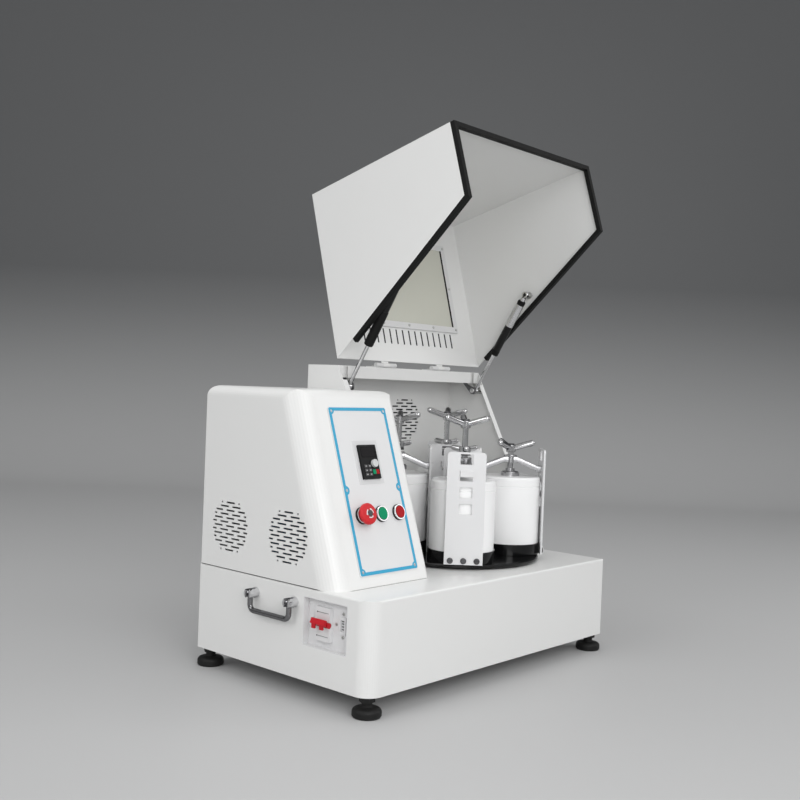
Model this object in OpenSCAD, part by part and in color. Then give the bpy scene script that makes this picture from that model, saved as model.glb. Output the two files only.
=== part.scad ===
// Floor-standing planetary ball mill: a flat base cabinet on four levelling feet carries a
// control console on the left and a milling chamber on the right. Inside the chamber a turntable
// carries four jar stations; a hood with a window swings up on two hinges, held by gas struts.
// Z = 0 is the floor under the feet, X runs to the right along the front, Y runs to the back.

/* [Base cabinet] */
// Width of the base cabinet
base_w = 750; // [720:5:820]
// Depth of the base cabinet
base_d = 470; // [460:5:500]
// Height of the base cabinet without its feet
base_h = 166; // [160:1:190]
// Thickness of the cabinet and chamber sheet
sheet = 2; // [1.5:0.1:2.5]
// Radius of the front left upright corner
front_left_r = 32; // [20:1:40]
// Radius of the other upright corners
corner_r = 4; // [3:0.5:6]
// Radius of the fold along the cabinet's top edges
fold_r = 4; // [2.5:0.5:6]
// Thickness of the bottom plate
floor_t = 3; // [2:0.5:5]

/* [Levelling feet] */
// Height of the cabinet above the floor
foot_h = 35; // [30:1:45]
// Radius of the rubber pad
pad_r = 26; // [22:1:30]
// Radius of the threaded stem
stem_r = 9.5; // [8:0.5:11]
// Distance of a foot from the two cabinet sides
foot_inset = 20; // [16:1:40]

/* [Carrying handles] */
// Distance between the two posts of a handle
handle_span = 107; // [90:1:130]
// Place of the handle's middle along the depth
handle_y = 7.5; // [-10:0.5:40]
// Height of the posts under the deck
handle_drop = 30; // [24:1:40]
// Radius of a post
post_r = 9.5; // [8.5:0.5:11]
// Length of a post out of the wall
post_len = 22; // [20:1:26]
// Radius of the bail rod
bail_r = 5; // [4:0.5:5.5]
// Length of the bail's legs from pivot to bar
bail_leg = 31; // [28:1:45]
// Radius of the pivot pins
bail_pin_r = 2.5; // [2:0.1:3]

/* [Breaker tray] */
// Width of the recessed tray
tray_w = 111; // [100:1:125]
// Height of the tray
tray_h = 88; // [80:1:100]
// Depth of the tray
tray_depth = 13; // [10:1:18]
// Distance of the tray's middle from the front of the cabinet
tray_from_front = 110.5; // [100:0.5:120]
// Distance of the tray's top edge under the deck
tray_drop = 15; // [12:1:20]
// Width of the two-pole breaker
breaker_w = 37; // [34:1:40]
// Height of the breaker's front
breaker_h = 60; // [50:1:66]
// Depth of the breaker's body behind the tray
breaker_depth = 28; // [20:1:30]

/* [Console] */
// Width of the console
console_w = 258; // [240:1:262]
// Height of the console above the deck
console_h = 354; // [330:1:380]
// Distance from the cabinet's front to the console's foot
console_setback = 87.4; // [80:0.2:100]
// Tilt of the sloping front
console_tilt = 18.8; // [14:0.2:22]
// Distance of the console's back from the cabinet's back
console_back = 5; // [3:1:12]
// Radius of the blend between the left side and the front
blend_r = 45; // [30:1:50]
// Radius of the edge between the right side and the front
right_edge_r = 14; // [8:1:20]
// Radius along the top of the sloping front
brow_r = 24; // [16:1:30]
// Radius of the other top edges
top_r = 20; // [12:1:28]

/* [Control panel] */
// Width of the control panel
panel_w = 158; // [150:1:170]
// Height of the control panel along the slope
panel_h = 320; // [300:1:330]
// Thickness of the control panel
panel_t = 1.5; // [1:0.1:2]
// Distance of the panel's lower edge from the console's foot
panel_s = 21; // [16:1:26]
// Distance of the panel's middle from the console's middle
panel_shift = 18.5; // [10:0.5:24]
// Width of the coloured border line
border_w = 4.5; // [3:0.5:6]
// Width of the frequency drive's keypad
keypad_w = 47; // [42:1:52]
// Height of the keypad
keypad_h = 66; // [60:1:72]
// Height of the keypad's middle on the slope
keypad_s = 232; // [220:1:245]
// Distance of the buttons' row from the console's foot
button_s = 132; // [120:1:145]
// Distance between neighbouring buttons
button_pitch = 48; // [42:0.5:50]
// Radius of the push buttons' bezels
bezel_r = 14.8; // [13:0.1:16]
// Radius of the push button caps
cap_r = 11.5; // [9:0.5:12]
// Radius of the emergency stop's mushroom
mushroom_r = 20; // [18:0.5:21]
// Travel of the push buttons
button_travel = 3; // [2:0.5:3.5]
// Travel of the emergency stop
stop_travel = 5; // [3:0.5:6]

/* [Vent patterns] */
// Radius of a round vent field
vent_r = 53; // [44:1:56]
// Distance between slot rows
vent_row = 7.6; // [7:0.1:9]
// Height of a slot
vent_slot_h = 3.4; // [2.6:0.1:4]
// Length of a slot
vent_slot_w = 25; // [20:1:28]
// Distance between the starts of two slots in a row
vent_pitch = 35; // [33:1:40]

/* [Chamber] */
// Width of the chamber and of the hood
chamber_w = 484; // [478:1:486]
// Height of the chamber above the deck
chamber_h = 405; // [395:1:420]
// Distance of the chamber's right side from the cabinet's right side
chamber_inset = 3; // [2:1:6]
// Distance of the rear wall's outer face from the cabinet's back
rear_inset = 11; // [8:1:14]
// Depth of the rail along the top of the rear wall
rail_depth = 90; // [84:1:96]
// Height of the rail's front lip
lip_h = 26; // [20:1:32]
// Width of the folded flange along the sloping side edges
flange_w = 14; // [10:1:14]
// Distance from the chamber's middle to the rear vent's middle
rear_vent_x = 74; // [60:1:90]
// Distance of the rear vent's middle below the chamber's top
rear_vent_drop = 118; // [100:1:140]

/* [Hood] */
// Angle from the hood's own upright to its open stop
hood_open = 105.3; // [100:0.1:108]
// Fall of the closed hood's top to the front
hood_fall = 1.1; // [0.6:0.1:1.5]
// Gap between the hinge axis and the top panel
hood_gap = 9; // [8:0.5:11]
// Thickness of the hood sheet
hood_t = 2.5; // [2:0.1:3]
// Distance of the closed hood's front foot behind the cabinet's front
hood_setback = 1.6; // [1:0.1:4]
// Length of the hood sides' level lower edge
hood_foot = 150; // [130:1:160]
// Thickness of the rubber seal
seal_t = 10; // [8:0.5:12]
// Width of the seal
seal_w = 10; // [8:0.5:12]
// Bare length of the hood's left sloping edge behind the end of its seal
seal_stop_left = 60; // [30:1:80]
// The same on the right
seal_stop_right = 34; // [30:1:80]
// Radius of the hinge barrel
barrel_r = 5; // [4.5:0.1:6]
// Radius of the hinge pin
hinge_pin_r = 2.5; // [2:0.1:3]
// Length of a hinge
hinge_len = 64; // [56:1:72]
// Distance of a hinge's middle from the chamber's middle
hinge_x = 94; // [80:1:120]
// Width of the window opening
window_w = 326; // [300:1:340]
// Height of the window opening
window_h = 192; // [180:1:196]
// Distance from the hinge axis to the window opening
window_s = 103; // [102:1:108]
// Count of the hood's vent slots
hood_slots = 15; // [11:2:17]
// Distance between the hood's vent slots
hood_slot_pitch = 21.4; // [20:0.2:23]
// Length of the hood's vent slots
hood_slot_l = 34; // [26:1:36]

/* [Gas struts] */
// Radius of the strut's tube
tube_r = 9; // [7.5:0.5:9]
// Radius of the piston rod
rod_r = 4; // [3:0.5:4]
// Depth of the notch in the rail's edge behind each rod
rod_notch = 5; // [4:0.5:8]
// Length of the tube
tube_len = 145; // [130:1:146]
// Distance of the struts from the chamber's sides
strut_x = 24.5; // [24:0.5:26]
// Depth of the upper joint from the hinge axis, in the hood's frame
strut_top_u = 134; // [130:1:136]
// Drop of the upper joint below the top panel, in the hood's frame
strut_top_w = 190; // [188:1:192]
// Distance of the lower joint in front of the hinge axis
strut_foot_u = 10; // [9:1:11]
// Distance of the lower joint below the hinge axis
strut_foot_w = 49; // [48:1:51]

/* [Turntable] */
// Radius of the turntable
table_r = 190; // [186:1:194]
// Thickness of the turntable
table_t = 7; // [6:0.5:9]
// Gap between the turntable and the deck
table_gap = 3.5; // [3:0.5:5]
// Distance of the turntable's axis from the rear wall
table_back = 218; // [214:1:222]
// Angle of the first jar station from the diagonal
station_turn = 3.2; // [0:0.1:8]
// Turn of each station about its own axis
planet_turn = -5.5; // [-8:0.5:0]
// Radius of the main shaft
shaft_r = 20; // [17:1:22]
// Radius of the planet shafts
planet_shaft_r = 12; // [10:0.5:14]

/* [Gears and belt drive] */
// Module of the gears
gear_module = 5; // [4.8:0.1:5]
// Teeth of the fixed sun gear
sun_teeth = 25; // [24:1:25]
// Teeth of a planet gear
planet_teeth = 25; // [24:1:25]
// Width of the gears
gear_w = 20; // [16:1:22]
// Backlash between two gears
backlash = 0.8; // [0.6:0.1:1.2]
// Radius of the large pulley
pulley_r = 100; // [90:1:110]
// Radius of the motor's pulley
motor_pulley_r = 45; // [40:1:50]
// Width of the belt
belt_w = 22; // [18:1:24]
// Thickness of the belt
belt_t = 5; // [4:0.5:6]
// Radius of the motor's body
motor_r = 70; // [60:1:74]
// Height of the motor's body
motor_h = 190; // [170:1:200]
// Distance of the motor's axis from the cabinet's left side
motor_x = 129; // [124:1:134]
// Distance of the motor's axis from the cabinet's back
motor_back = 130; // [120:1:140]

/* [Jar stations] */
// Radius of the jar
jar_r = 67.5; // [64:0.5:67.5]
// Height of the jar with its lid
jar_h = 143.5; // [130:0.5:146]
// Height of the lid
lid_h = 20; // [16:1:24]
// Wall of the jar
jar_wall = 9; // [6:0.5:12]
// Height of the jar holder
holder_h = 23.2; // [20:0.2:25]
// Depth of the jar's seat in its holder
seat_h = 4; // [3:0.5:6]
// Width of a clamp plate
plate_w = 78; // [70:1:80]
// Height of a clamp plate
plate_h = 227; // [222:1:232]
// Thickness of a clamp plate
plate_t = 4; // [3:0.5:4]
// Radius of a clamp plate's upper corners
plate_corner = 7; // [4:1:10]
// Width of the square holes
hole_w = 26; // [22:1:28]
// Height of the square holes
hole_h = 21; // [18:1:22]
// Distance between the square holes
hole_pitch = 33.5; // [32:0.5:35]
// Distance of the first hole's top below the plate's top
hole_top = 4; // [3.5:0.5:6]
// Thickness of the yoke beam
yoke_t = 12; // [10:0.5:13]
// Rise of the yoke's hub above its ends
yoke_rise = 19; // [16:1:21]
// Height of the yoke's hub
yoke_hub_h = 15; // [13:1:17]
// Radius of the yoke's hub
yoke_hub_r = 14; // [12:0.5:15]
// Radius of the clamp screw
screw_r = 6; // [5:0.5:6.5]
// Radius of the pressing pad
press_r = 20; // [16:0.5:22]
// Thickness of the pressing pad
press_t = 9; // [6:0.5:10]
// Lift of the pads above the lids where a station is loosened
pad_lift = 8; // [0:0.5:9]
// Reach of a long screw's handle above the pad's face
long_reach = 98; // [90:1:110]
// Reach of the short screw's handle above the pad's face
short_reach = 52; // [48:0.5:60]
// Reach of the rear screw's handle above the pad's face
rear_reach = 106; // [100:1:110]
// Radius of the star handles' arms
arm_r = 5; // [4:0.5:5.5]
// Reach of a star handle's arms
arm_reach = 52; // [46:1:58]
// Rise of a star handle's arms
arm_rise = 17; // [10:1:25]
// Reach of a lock nut's arms
nut_reach = 31; // [28:1:36]
// Height of a lock nut
nut_h = 12; // [10:0.5:12.5]
// Lift of a loosened lock nut above the yoke
nut_lift = 10; // [6:0.5:12]

/* [Fits] */
// Clearance all round a running shaft or pin
run_fit = 0.06; // [0.04:0.01:0.1]
// Clearance between faces that move past each other
face_gap = 0.4; // [0.3:0.05:0.6]

/* [Hidden] */
$fn = 64;

white = [0.88, 0.88, 0.89];
light = [0.80, 0.80, 0.81];
dark = [0.10, 0.10, 0.11];
chrome = [0.72, 0.73, 0.75];
steel = [0.60, 0.61, 0.63];

deck = foot_h + base_h;
half_w = base_w / 2;
half_d = base_d / 2;
in_z = foot_h + floor_t;
// Lock nut of a foot: as wide as the folded corner beside it lets it be
lock_r = min(stem_r + 5, front_left_r - sheet - sqrt(2) * (front_left_r - foot_inset) - face_gap);

// Points of an arc from angle a0 to angle a1 about c
function arc(c, r, a0, a1, n) =
    [for (i = [0 : n]) c + r * [cos(a0 + (a1 - a0) * i / n), sin(a0 + (a1 - a0) * i / n)]];
// A point turned by an angle
function turn(p, a) = [p[0] * cos(a) - p[1] * sin(a), p[0] * sin(a) + p[1] * cos(a)];
function unit(v) = v / norm(v);

// Handles on the cabinet's sides
post_z = deck - handle_drop;
bail_out = 14;
bail_bend = 11;
fork_gap = 0.25;
fork_root = 6;
pin_lip = 0.6;

// Breaker tray
tray_wall = 1.5;
tray_y = -half_d + tray_from_front;
tray_z = deck - tray_drop - tray_h / 2;
breaker_shift = 11;
breaker_y = tray_y + breaker_shift;
breaker_out = 8;
toggle_hub_r = 5;
toggle_len = 12;
toggle_lift = 12;
socket_w = 15;
socket_h = 30;
socket_y = tray_y - 34;
socket_z = tray_z + 4;

// Console
console_x0 = -half_w;
console_mid = console_x0 + console_w / 2;
console_y0 = -half_d + console_setback;
console_y1 = half_d - console_back;
console_top = deck + console_h;
foot_r = 1.5;
side_vent_z = deck + 83;
side_vent_y = [146, -20];

// Control panel
panel_x = console_mid + panel_shift;
panel_mid = panel_s + panel_h / 2;
panel_r = 4;
border_inset = 3.5;
lug_r = 8.5;
lug_inset = 7;
keypad_x = panel_x - 0.2;
keypad_out = 5;
keypad_fit = 0.2;
drive_size = [92, 130, 62];
stop_x = panel_x - button_pitch + 3;
button_x = [stop_x, panel_x + 6, panel_x + button_pitch + 6];
collar_r = 11;
bezel_t = 4;
rim_t = 2;
plunger_r = 7;
knob_r = 7.5;
knob_h = 5;
knob_dx = 9.5;
knob_ds = -4;

// Chamber
chamber_x1 = half_w - chamber_inset;
chamber_x0 = chamber_x1 - chamber_w;
chamber_mid = (chamber_x0 + chamber_x1) / 2;
chamber_top = deck + chamber_h;
rear_y = half_d - rear_inset - sheet;
rail_y = rear_y + sheet - rail_depth;

// Hood: the hinge axis and the design points of the closed hood
hinge_y = rail_y;
hinge_z = chamber_top + barrel_r + 0.2;
seat_gap = 0.3;
foot_z = deck + seal_t + seat_gap;
front_foot = turn([-half_d + hood_setback - hinge_y, foot_z - hinge_z], -hood_fall);
hood_reach = -front_foot[0];
hood_h = -front_foot[1];
pt_a = [-hood_reach, 0];
pt_b = front_foot;
pt_c = front_foot + turn([hood_foot, 0], -hood_fall);
pt_e = [-hood_gap, 0];
foot_dir = unit(pt_c - pt_b);
slope_dir = unit(pt_e - pt_c);
function closed(p) = [hinge_y, hinge_z] + turn(p, hood_fall);
edge_c = closed(pt_c);
edge_e = closed(pt_e);
edge_dir = unit(edge_e - edge_c);
edge_out = [edge_dir[1], -edge_dir[0]];
wall_shift = (seal_t + seat_gap) * edge_out;
// The chamber side's sloping edge runs parallel to the closed hood's edge
function on_edge(z) = edge_c + wall_shift + edge_dir * (z - edge_c[1] - wall_shift[1]) / edge_dir[1];
wall_top = on_edge(chamber_top);
wall_foot = on_edge(deck);

// Window in the hood's top panel
pane_t = 4;
pane_lap = 10;
frame_t = 1.5;
frame_lap = 14;
slot_s = 51;
slot_w = 4.5;

// Gas struts: joints in the hood's frame and in the chamber
strut_top = [-strut_top_u, -strut_top_w];
strut_foot = [hinge_y - strut_foot_u, hinge_z - strut_foot_w];
strut_top_rest = [hinge_y, hinge_z] + turn(strut_top, -hood_open);
strut_len = norm(strut_top_rest - strut_foot);
strut_vec = strut_top_rest - strut_foot;
strut_lean = atan2(-strut_vec[0], strut_vec[1]);
fitting = 18;
eye_r = 7;
eye_t = 8;
stud_r = 4;
piston_r = tube_r - 1.6;
cap_l = 10;

// Turntable and gears
table_x = chamber_mid;
table_y = rear_y - table_back;
table_z = deck + table_gap;
orbit = gear_module * (sun_teeth + planet_teeth) / 2;
gear_z = deck - sheet - 36;
boss_r = 26;
hub_r = 42;
opening_r = orbit + boss_r + 14;
boss_drop = table_z - gear_z - gear_w - 2;
bridge_z = gear_z - 28;
bridge_t = 6;
pulley_z = bridge_z - 32;
motor_ax = -half_w + motor_x;
motor_ay = half_d - motor_back;
column_r = 36;
shaft_z0 = pulley_z - 12;
motor_shaft_r = 11;

// Jar stations
function station_angle(k) = 225 + station_turn + 90 * k;
holder_z = table_z + table_t + 0.8;
holder_r = 70;
flat_x = 68;
jar_z = holder_z + holder_h;
lid_z = jar_z + jar_h;
plate_z = holder_z + 0.2;
plate_top = plate_z + plate_h;
hole_z = plate_top - hole_top - hole_pitch;
yoke_z = hole_z - yoke_t;
yoke_hub_z = yoke_z + yoke_rise;
yoke_top = yoke_hub_z + yoke_hub_h;
lug_out = 4;
lug_fit = 0.3;
collar_h = 7;
handle_hub_r = 9.5;
handle_hub_h = 15;

module ring(r1, r0, h) {
    difference() {
        cylinder(r = r1, h = h);
        translate([0, 0, -1]) cylinder(r = r0, h = h + 2);
    }
}

// Plan of the base cabinet, drawn in by an inset
module base_plan(inset) {
    w = half_w - inset;
    d = half_d - inset;
    r1 = front_left_r - inset;
    r2 = corner_r - inset;
    polygon(concat(
        arc([-w + r1, -d + r1], r1, 180, 270, 12),
        arc([w - r2, -d + r2], r2, 270, 360, 4),
        arc([w - r2, d - r2], r2, 0, 90, 4),
        arc([-w + r2, d - r2], r2, 90, 180, 4)
    ));
}

module at_feet() {
    for (sx = [-1, 1], sy = [-1, 1])
        translate([sx * (half_w - foot_inset), sy * (half_d - foot_inset), 0]) children();
}

// A bar along X whose section is as wide as the cabinet, with rounded upper edges
module folded_bar(w, l, inset) {
    r = fold_r - inset;
    rotate([90, 0, 90]) translate([0, 0, -l / 2]) linear_extrude(l) polygon(concat(
        [[-w / 2, foot_h - 1], [w / 2, foot_h - 1]],
        arc([w / 2 - r, deck - inset - r], r, 0, 90, 4),
        arc([-w / 2 + r, deck - inset - r], r, 90, 180, 4)
    ));
}

// The cabinet as a solid, drawn in by an inset, from foot up to its rounded top edges
module base_form(inset, foot) {
    intersection() {
        translate([0, 0, foot]) linear_extrude(deck - inset - foot) base_plan(inset);
        folded_bar(base_d - 2 * inset, base_w + 2, inset);
        rotate([0, 0, 90]) folded_bar(base_w - 2 * inset, base_d + 2, inset);
    }
}

module base_shell() {
    color(white) difference() {
        base_form(0, foot_h);
        base_form(sheet, foot_h - 0.5);
        translate([table_x, table_y, deck - sheet - 1]) cylinder(r = opening_r, h = sheet + 2);
        translate([motor_ax, motor_ay, deck - sheet - 1]) cylinder(r = motor_r + 10, h = sheet + 2);
        translate([-half_w - 1, tray_y - tray_w / 2, tray_z - tray_h / 2])
            cube([sheet + 2, tray_w, tray_h]);
    }
}

module base_floor() {
    color(light) difference() {
        translate([0, 0, foot_h]) linear_extrude(floor_t) base_plan(sheet);
        at_feet() translate([0, 0, foot_h - 1]) cylinder(r = stem_r, h = floor_t + 2);
    }
}

module levelling_feet() {
    color(dark) at_feet() {
        rotate_extrude() polygon(concat(
            [[0, 0], [pad_r - 2, 0], [pad_r, 3]],
            arc([pad_r - 7, 9], 7, 0, 70, 5),
            [[stem_r + 2, 18], [stem_r, 20], [stem_r, in_z + 14], [0, in_z + 14]]
        ));
        translate([0, 0, foot_h - 9]) cylinder(r = stem_r + 5, h = 9, $fn = 6);
        translate([0, 0, in_z]) cylinder(r = lock_r, h = 8, $fn = 6);
    }
}

// One side's pair of handle posts; side is -1 for the left and 1 for the right
module post_pair(side) {
    for (sy = [-1, 1]) translate([side * half_w, handle_y + sy * handle_span / 2, post_z]) {
        difference() {
            rotate([0, side * 90, 0]) cylinder(r = post_r, h = post_len);
            translate([side * (fork_root + post_len) - post_len, -bail_r - fork_gap, -post_r - 1])
                cube([2 * post_len, 2 * (bail_r + fork_gap), 2 * post_r + 2]);
        }
        translate([side * bail_out, -post_r + pin_lip, 0]) rotate([-90, 0, 0])
            cylinder(r = bail_pin_r, h = 2 * (post_r - pin_lip));
    }
}

module handle_posts() {
    color(chrome) {
        post_pair(-1);
        post_pair(1);
    }
}

// A bail: two legs on the posts' pins, bent into one bar
module bail(side) {
    color(chrome) translate([side * (half_w + bail_out), handle_y, post_z]) difference() {
        union() {
            for (sy = [-1, 1]) translate([0, sy * handle_span / 2, 0]) {
                sphere(r = bail_r);
                translate([0, 0, -bail_leg + bail_bend]) cylinder(r = bail_r, h = bail_leg - bail_bend);
                translate([0, -sy * bail_bend, -bail_leg + bail_bend])
                    rotate([90, 0, 90]) mirror([sy > 0 ? 0 : 1, 0, 0])
                        rotate_extrude(angle = -90) translate([bail_bend, 0]) circle(r = bail_r);
            }
            translate([0, -handle_span / 2 + bail_bend, -bail_leg]) rotate([-90, 0, 0])
                cylinder(r = bail_r, h = handle_span - 2 * bail_bend);
        }
        for (sy = [-1, 1]) translate([0, sy * handle_span / 2 - bail_r - 1, 0])
            rotate([-90, 0, 0]) cylinder(r = bail_pin_r + run_fit, h = 2 * bail_r + 2);
    }
}

module bail_left() {
    bail(-1);
}

module bail_right() {
    bail(1);
}

// Recessed tray in the left wall with the breaker's body and a small outlet beside it
module breaker_tray() {
    color(light) translate([-half_w, 0, 0]) difference() {
        union() {
            difference() {
                translate([0, tray_y - tray_w / 2, tray_z - tray_h / 2])
                    cube([tray_depth + tray_wall, tray_w, tray_h]);
                translate([-1, tray_y - tray_w / 2 + tray_wall, tray_z - tray_h / 2 + tray_wall])
                    cube([tray_depth + 1, tray_w - 2 * tray_wall, tray_h - 2 * tray_wall]);
            }
            translate([tray_depth - breaker_out, breaker_y - breaker_w / 2, tray_z - breaker_h / 2])
                cube([breaker_out + breaker_depth, breaker_w, breaker_h]);
            translate([tray_depth - 3, socket_y - socket_w / 2, socket_z - socket_h / 2])
                cube([3 + 20, socket_w, socket_h]);
        }
        translate([tray_depth - breaker_out, breaker_y - breaker_w / 2 - 1, tray_z])
            rotate([-90, 0, 0]) cylinder(r = toggle_hub_r + face_gap, h = breaker_w + 2);
        translate([tray_depth - 4, socket_y - socket_w / 2 + 3, socket_z - socket_h / 2 + 5])
            cube([4, socket_w - 6, socket_h - 10]);
    }
}

// Two linked toggles that turn on a hub in the breaker's face
module breaker_toggle() {
    color([0.80, 0.10, 0.12])
    translate([-half_w + tray_depth - breaker_out, breaker_y, tray_z]) {
        rotate([-90, 0, 0]) translate([0, 0, -breaker_w / 2 + 1])
            cylinder(r = toggle_hub_r, h = breaker_w - 2);
        rotate([0, 25, 0]) {
            for (sy = [-1, 1]) translate([-toggle_len, sy * 10 - 5, -3.5])
                cube([toggle_len, 10, 7]);
            translate([-toggle_len - 2, -breaker_w / 2 + 1, -4]) cube([5, breaker_w - 2, 10]);
        }
    }
}

// Side outline of the console in Y and Z, drawn in by an inset
function console_side(inset, foot) =
    let (
        t = tan(console_tilt),
        r1 = brow_r - inset,
        r2 = top_r - inset,
        front_at = console_y0 + inset / cos(console_tilt),
        z1 = console_top - inset,
        y1 = console_y1 - inset,
        cz = z1 - r1,
        cy = front_at + (cz - deck) * t + r1 / cos(console_tilt)
    )
    concat(
        inset > 0 ? [[y1, foot], [front_at + (foot - deck) * t, foot]]
            : [[y1, foot + foot_r], [y1 - foot_r, foot], [front_at + foot_r, foot],
               [front_at + foot_r * t, foot + foot_r]],
        arc([cy, cz], r1, 180 - console_tilt, 90, 10),
        arc([y1 - r2, z1 - r2], r2, 90, 0, 8)
    );

// The console as a solid, drawn in by an inset, open down to foot
module console_form(inset, foot) {
    w = console_w - 2 * inset;
    r = top_r - inset;
    z1 = console_top - inset;
    intersection() {
        translate([console_x0 + inset, 0, 0]) rotate([90, 0, 90])
            linear_extrude(w) polygon(console_side(inset, foot));
        translate([console_x0 + inset, half_d + 1, 0]) rotate([90, 0, 0])
            linear_extrude(base_d + 2) polygon(concat(
                inset > 0 ? [[0, foot - 1], [w, foot - 1]]
                    : [[0, foot + foot_r], [foot_r, foot], [w - foot_r, foot], [w, foot + foot_r]],
                arc([w - r, z1 - r], r, 0, 90, 8),
                arc([r, z1 - r], r, 90, 180, 8)
            ));
        translate([console_x0 + inset, console_y0, deck]) rotate([-console_tilt, 0, 0])
            translate([0, inset, -base_d]) linear_extrude(3 * base_d) polygon(concat(
                arc([blend_r - inset, blend_r - inset], blend_r - inset, 180, 270, 12),
                arc([w - right_edge_r + inset, right_edge_r - inset], right_edge_r - inset, 270, 360, 6),
                [[w, 2 * base_d], [0, 2 * base_d]]
            ));
    }
}

// Slots of a round vent field in X and Y, cut through along Z
module vent_slots(depth) {
    rows = floor((vent_r - vent_slot_h / 2) / vent_row);
    for (i = [-rows : rows]) {
        half = sqrt(vent_r * vent_r - i * i * vent_row * vent_row);
        shift = (i % 2 == 0) ? 0 : vent_pitch / 2;
        for (k = [-2 : 2]) {
            a = max(-half, k * vent_pitch + shift - vent_slot_w / 2);
            b = min(half, k * vent_pitch + shift + vent_slot_w / 2);
            if (b - a > vent_slot_h) translate([a, i * vent_row - vent_slot_h / 2, 0])
                cube([b - a, vent_slot_h, depth]);
        }
    }
}

// Places children on the console's sloping front: X across, Y up the slope, Z outward
module on_front(x, s) {
    translate([x, console_y0, deck]) rotate([90 - console_tilt, 0, 0]) translate([0, s, 0]) children();
}

module console_shell() {
    color(white) difference() {
        console_form(0, deck);
        console_form(sheet, deck - 1);
        for (y = side_vent_y) translate([console_x0 - 1, y, side_vent_z]) rotate([90, 0, 90])
            vent_slots(sheet + 2);
        on_front(keypad_x, keypad_s) translate([-keypad_w / 2, -keypad_h / 2, -sheet - 3])
            cube([keypad_w, keypad_h, sheet + 6]);
        for (x = button_x) on_front(x, button_s) translate([0, 0, -sheet - 3])
            cylinder(r = collar_r, h = sheet + 6);
    }
}

module round_plate(w, h, r, t) {
    linear_extrude(t) polygon(concat(
        arc([-w / 2 + r, -h / 2 + r], r, 180, 270, 5),
        arc([w / 2 - r, -h / 2 + r], r, 270, 360, 5),
        arc([w / 2 - r, h / 2 - r], r, 0, 90, 5),
        arc([-w / 2 + r, h / 2 - r], r, 90, 180, 5)
    ));
}

module front_panel() {
    color(light) on_front(panel_x, panel_mid) difference() {
        round_plate(panel_w, panel_h, panel_r, panel_t);
        translate([keypad_x - panel_x - keypad_w / 2, keypad_s - panel_mid - keypad_h / 2, -1])
            cube([keypad_w, keypad_h, panel_t + 2]);
        for (x = button_x) translate([x - panel_x, button_s - panel_mid, -1])
            cylinder(r = collar_r, h = panel_t + 2);
    }
}

// Coloured border round the panel, widened to a lug at each of six screws
module panel_border() {
    w = panel_w - 2 * border_inset;
    h = panel_h - 2 * border_inset;
    color([0.22, 0.62, 0.80]) on_front(panel_x, panel_mid) translate([0, 0, panel_t])
    difference() {
        intersection() {
            round_plate(w, h, 2, 0.6);
            union() {
                difference() {
                    translate([0, 0, -1]) round_plate(w, h, 2, 3);
                    translate([0, 0, -2])
                        round_plate(w - 2 * border_w, h - 2 * border_w, 2, 6);
                }
                for (sx = [-1, 1], sy = [-1, 0, 1])
                    translate([sx * (w / 2 - lug_inset + 4), sy * (h / 2 - lug_inset + 4), -1])
                        cylinder(r = lug_r, h = 3);
            }
        }
        for (sx = [-1, 1], sy = [-1, 0, 1])
            translate([sx * (w / 2 - lug_inset + 2), sy * (h / 2 - lug_inset + 2), -1])
                cylinder(r = 3, h = 3);
    }
}

// Frequency drive behind the panel with its keypad standing through it
module drive_keypad() {
    w = keypad_w - 2 * keypad_fit;
    h = keypad_h - 2 * keypad_fit;
    color(dark) on_front(keypad_x, keypad_s) difference() {
        union() {
            translate([-w / 2, -h / 2, -sheet - 8]) cube([w, h, sheet + 8 + panel_t + keypad_out]);
            translate([-drive_size[0] / 2, -drive_size[1] / 2, -sheet - 8 - drive_size[2]])
                cube([drive_size[0], drive_size[1], drive_size[2]]);
            for (i = [0 : 1], j = [0 : 2]) translate([-17 + i * 10, -27 + j * 8, 0])
                cube([7, 5, panel_t + keypad_out + 1]);
            for (i = [0 : 1]) translate([4 + i * 8, -24, 0])
                cube([6.5, 8, panel_t + keypad_out + 1.2]);
        }
        translate([-w / 2 + 4, 8, panel_t + keypad_out - 0.8]) cube([w - 8, h / 2 - 12, 2]);
        translate([knob_dx, knob_ds, panel_t + keypad_out - 4])
            cylinder(r = 3 + run_fit, h = 10);
    }
}

module keypad_knob() {
    color(light) on_front(keypad_x + knob_dx, keypad_s + knob_ds)
    translate([0, 0, panel_t + keypad_out]) {
        difference() {
            translate([0, 0, face_gap]) cylinder(r = knob_r, h = knob_h);
            translate([-0.8, 1, knob_h + face_gap - 0.8]) cube([1.6, knob_r, 2]);
        }
        translate([0, 0, -3.5]) cylinder(r = 3, h = 4);
    }
}

// Bezels in front of the panel, threaded collars through it and contact blocks behind it
module button_bodies() {
    for (i = [0 : 2]) color(i == 0 ? dark : chrome) on_front(button_x[i], button_s) difference() {
        union() {
            translate([0, 0, panel_t]) cylinder(r = bezel_r, h = bezel_t);
            translate([0, 0, panel_t]) cylinder(r = bezel_r - 1.5, h = bezel_t + rim_t);
            translate([0, 0, -20]) cylinder(r = collar_r, h = 20 + panel_t);
            translate([-15, -15, -sheet - 48]) cube([30, 30, 48 - 12]);
        }
        translate([0, 0, -6]) cylinder(r = plunger_r + run_fit, h = 20);
        if (i > 0) translate([0, 0, panel_t + 1]) cylinder(r = cap_r + run_fit, h = 20);
    }
}

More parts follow.
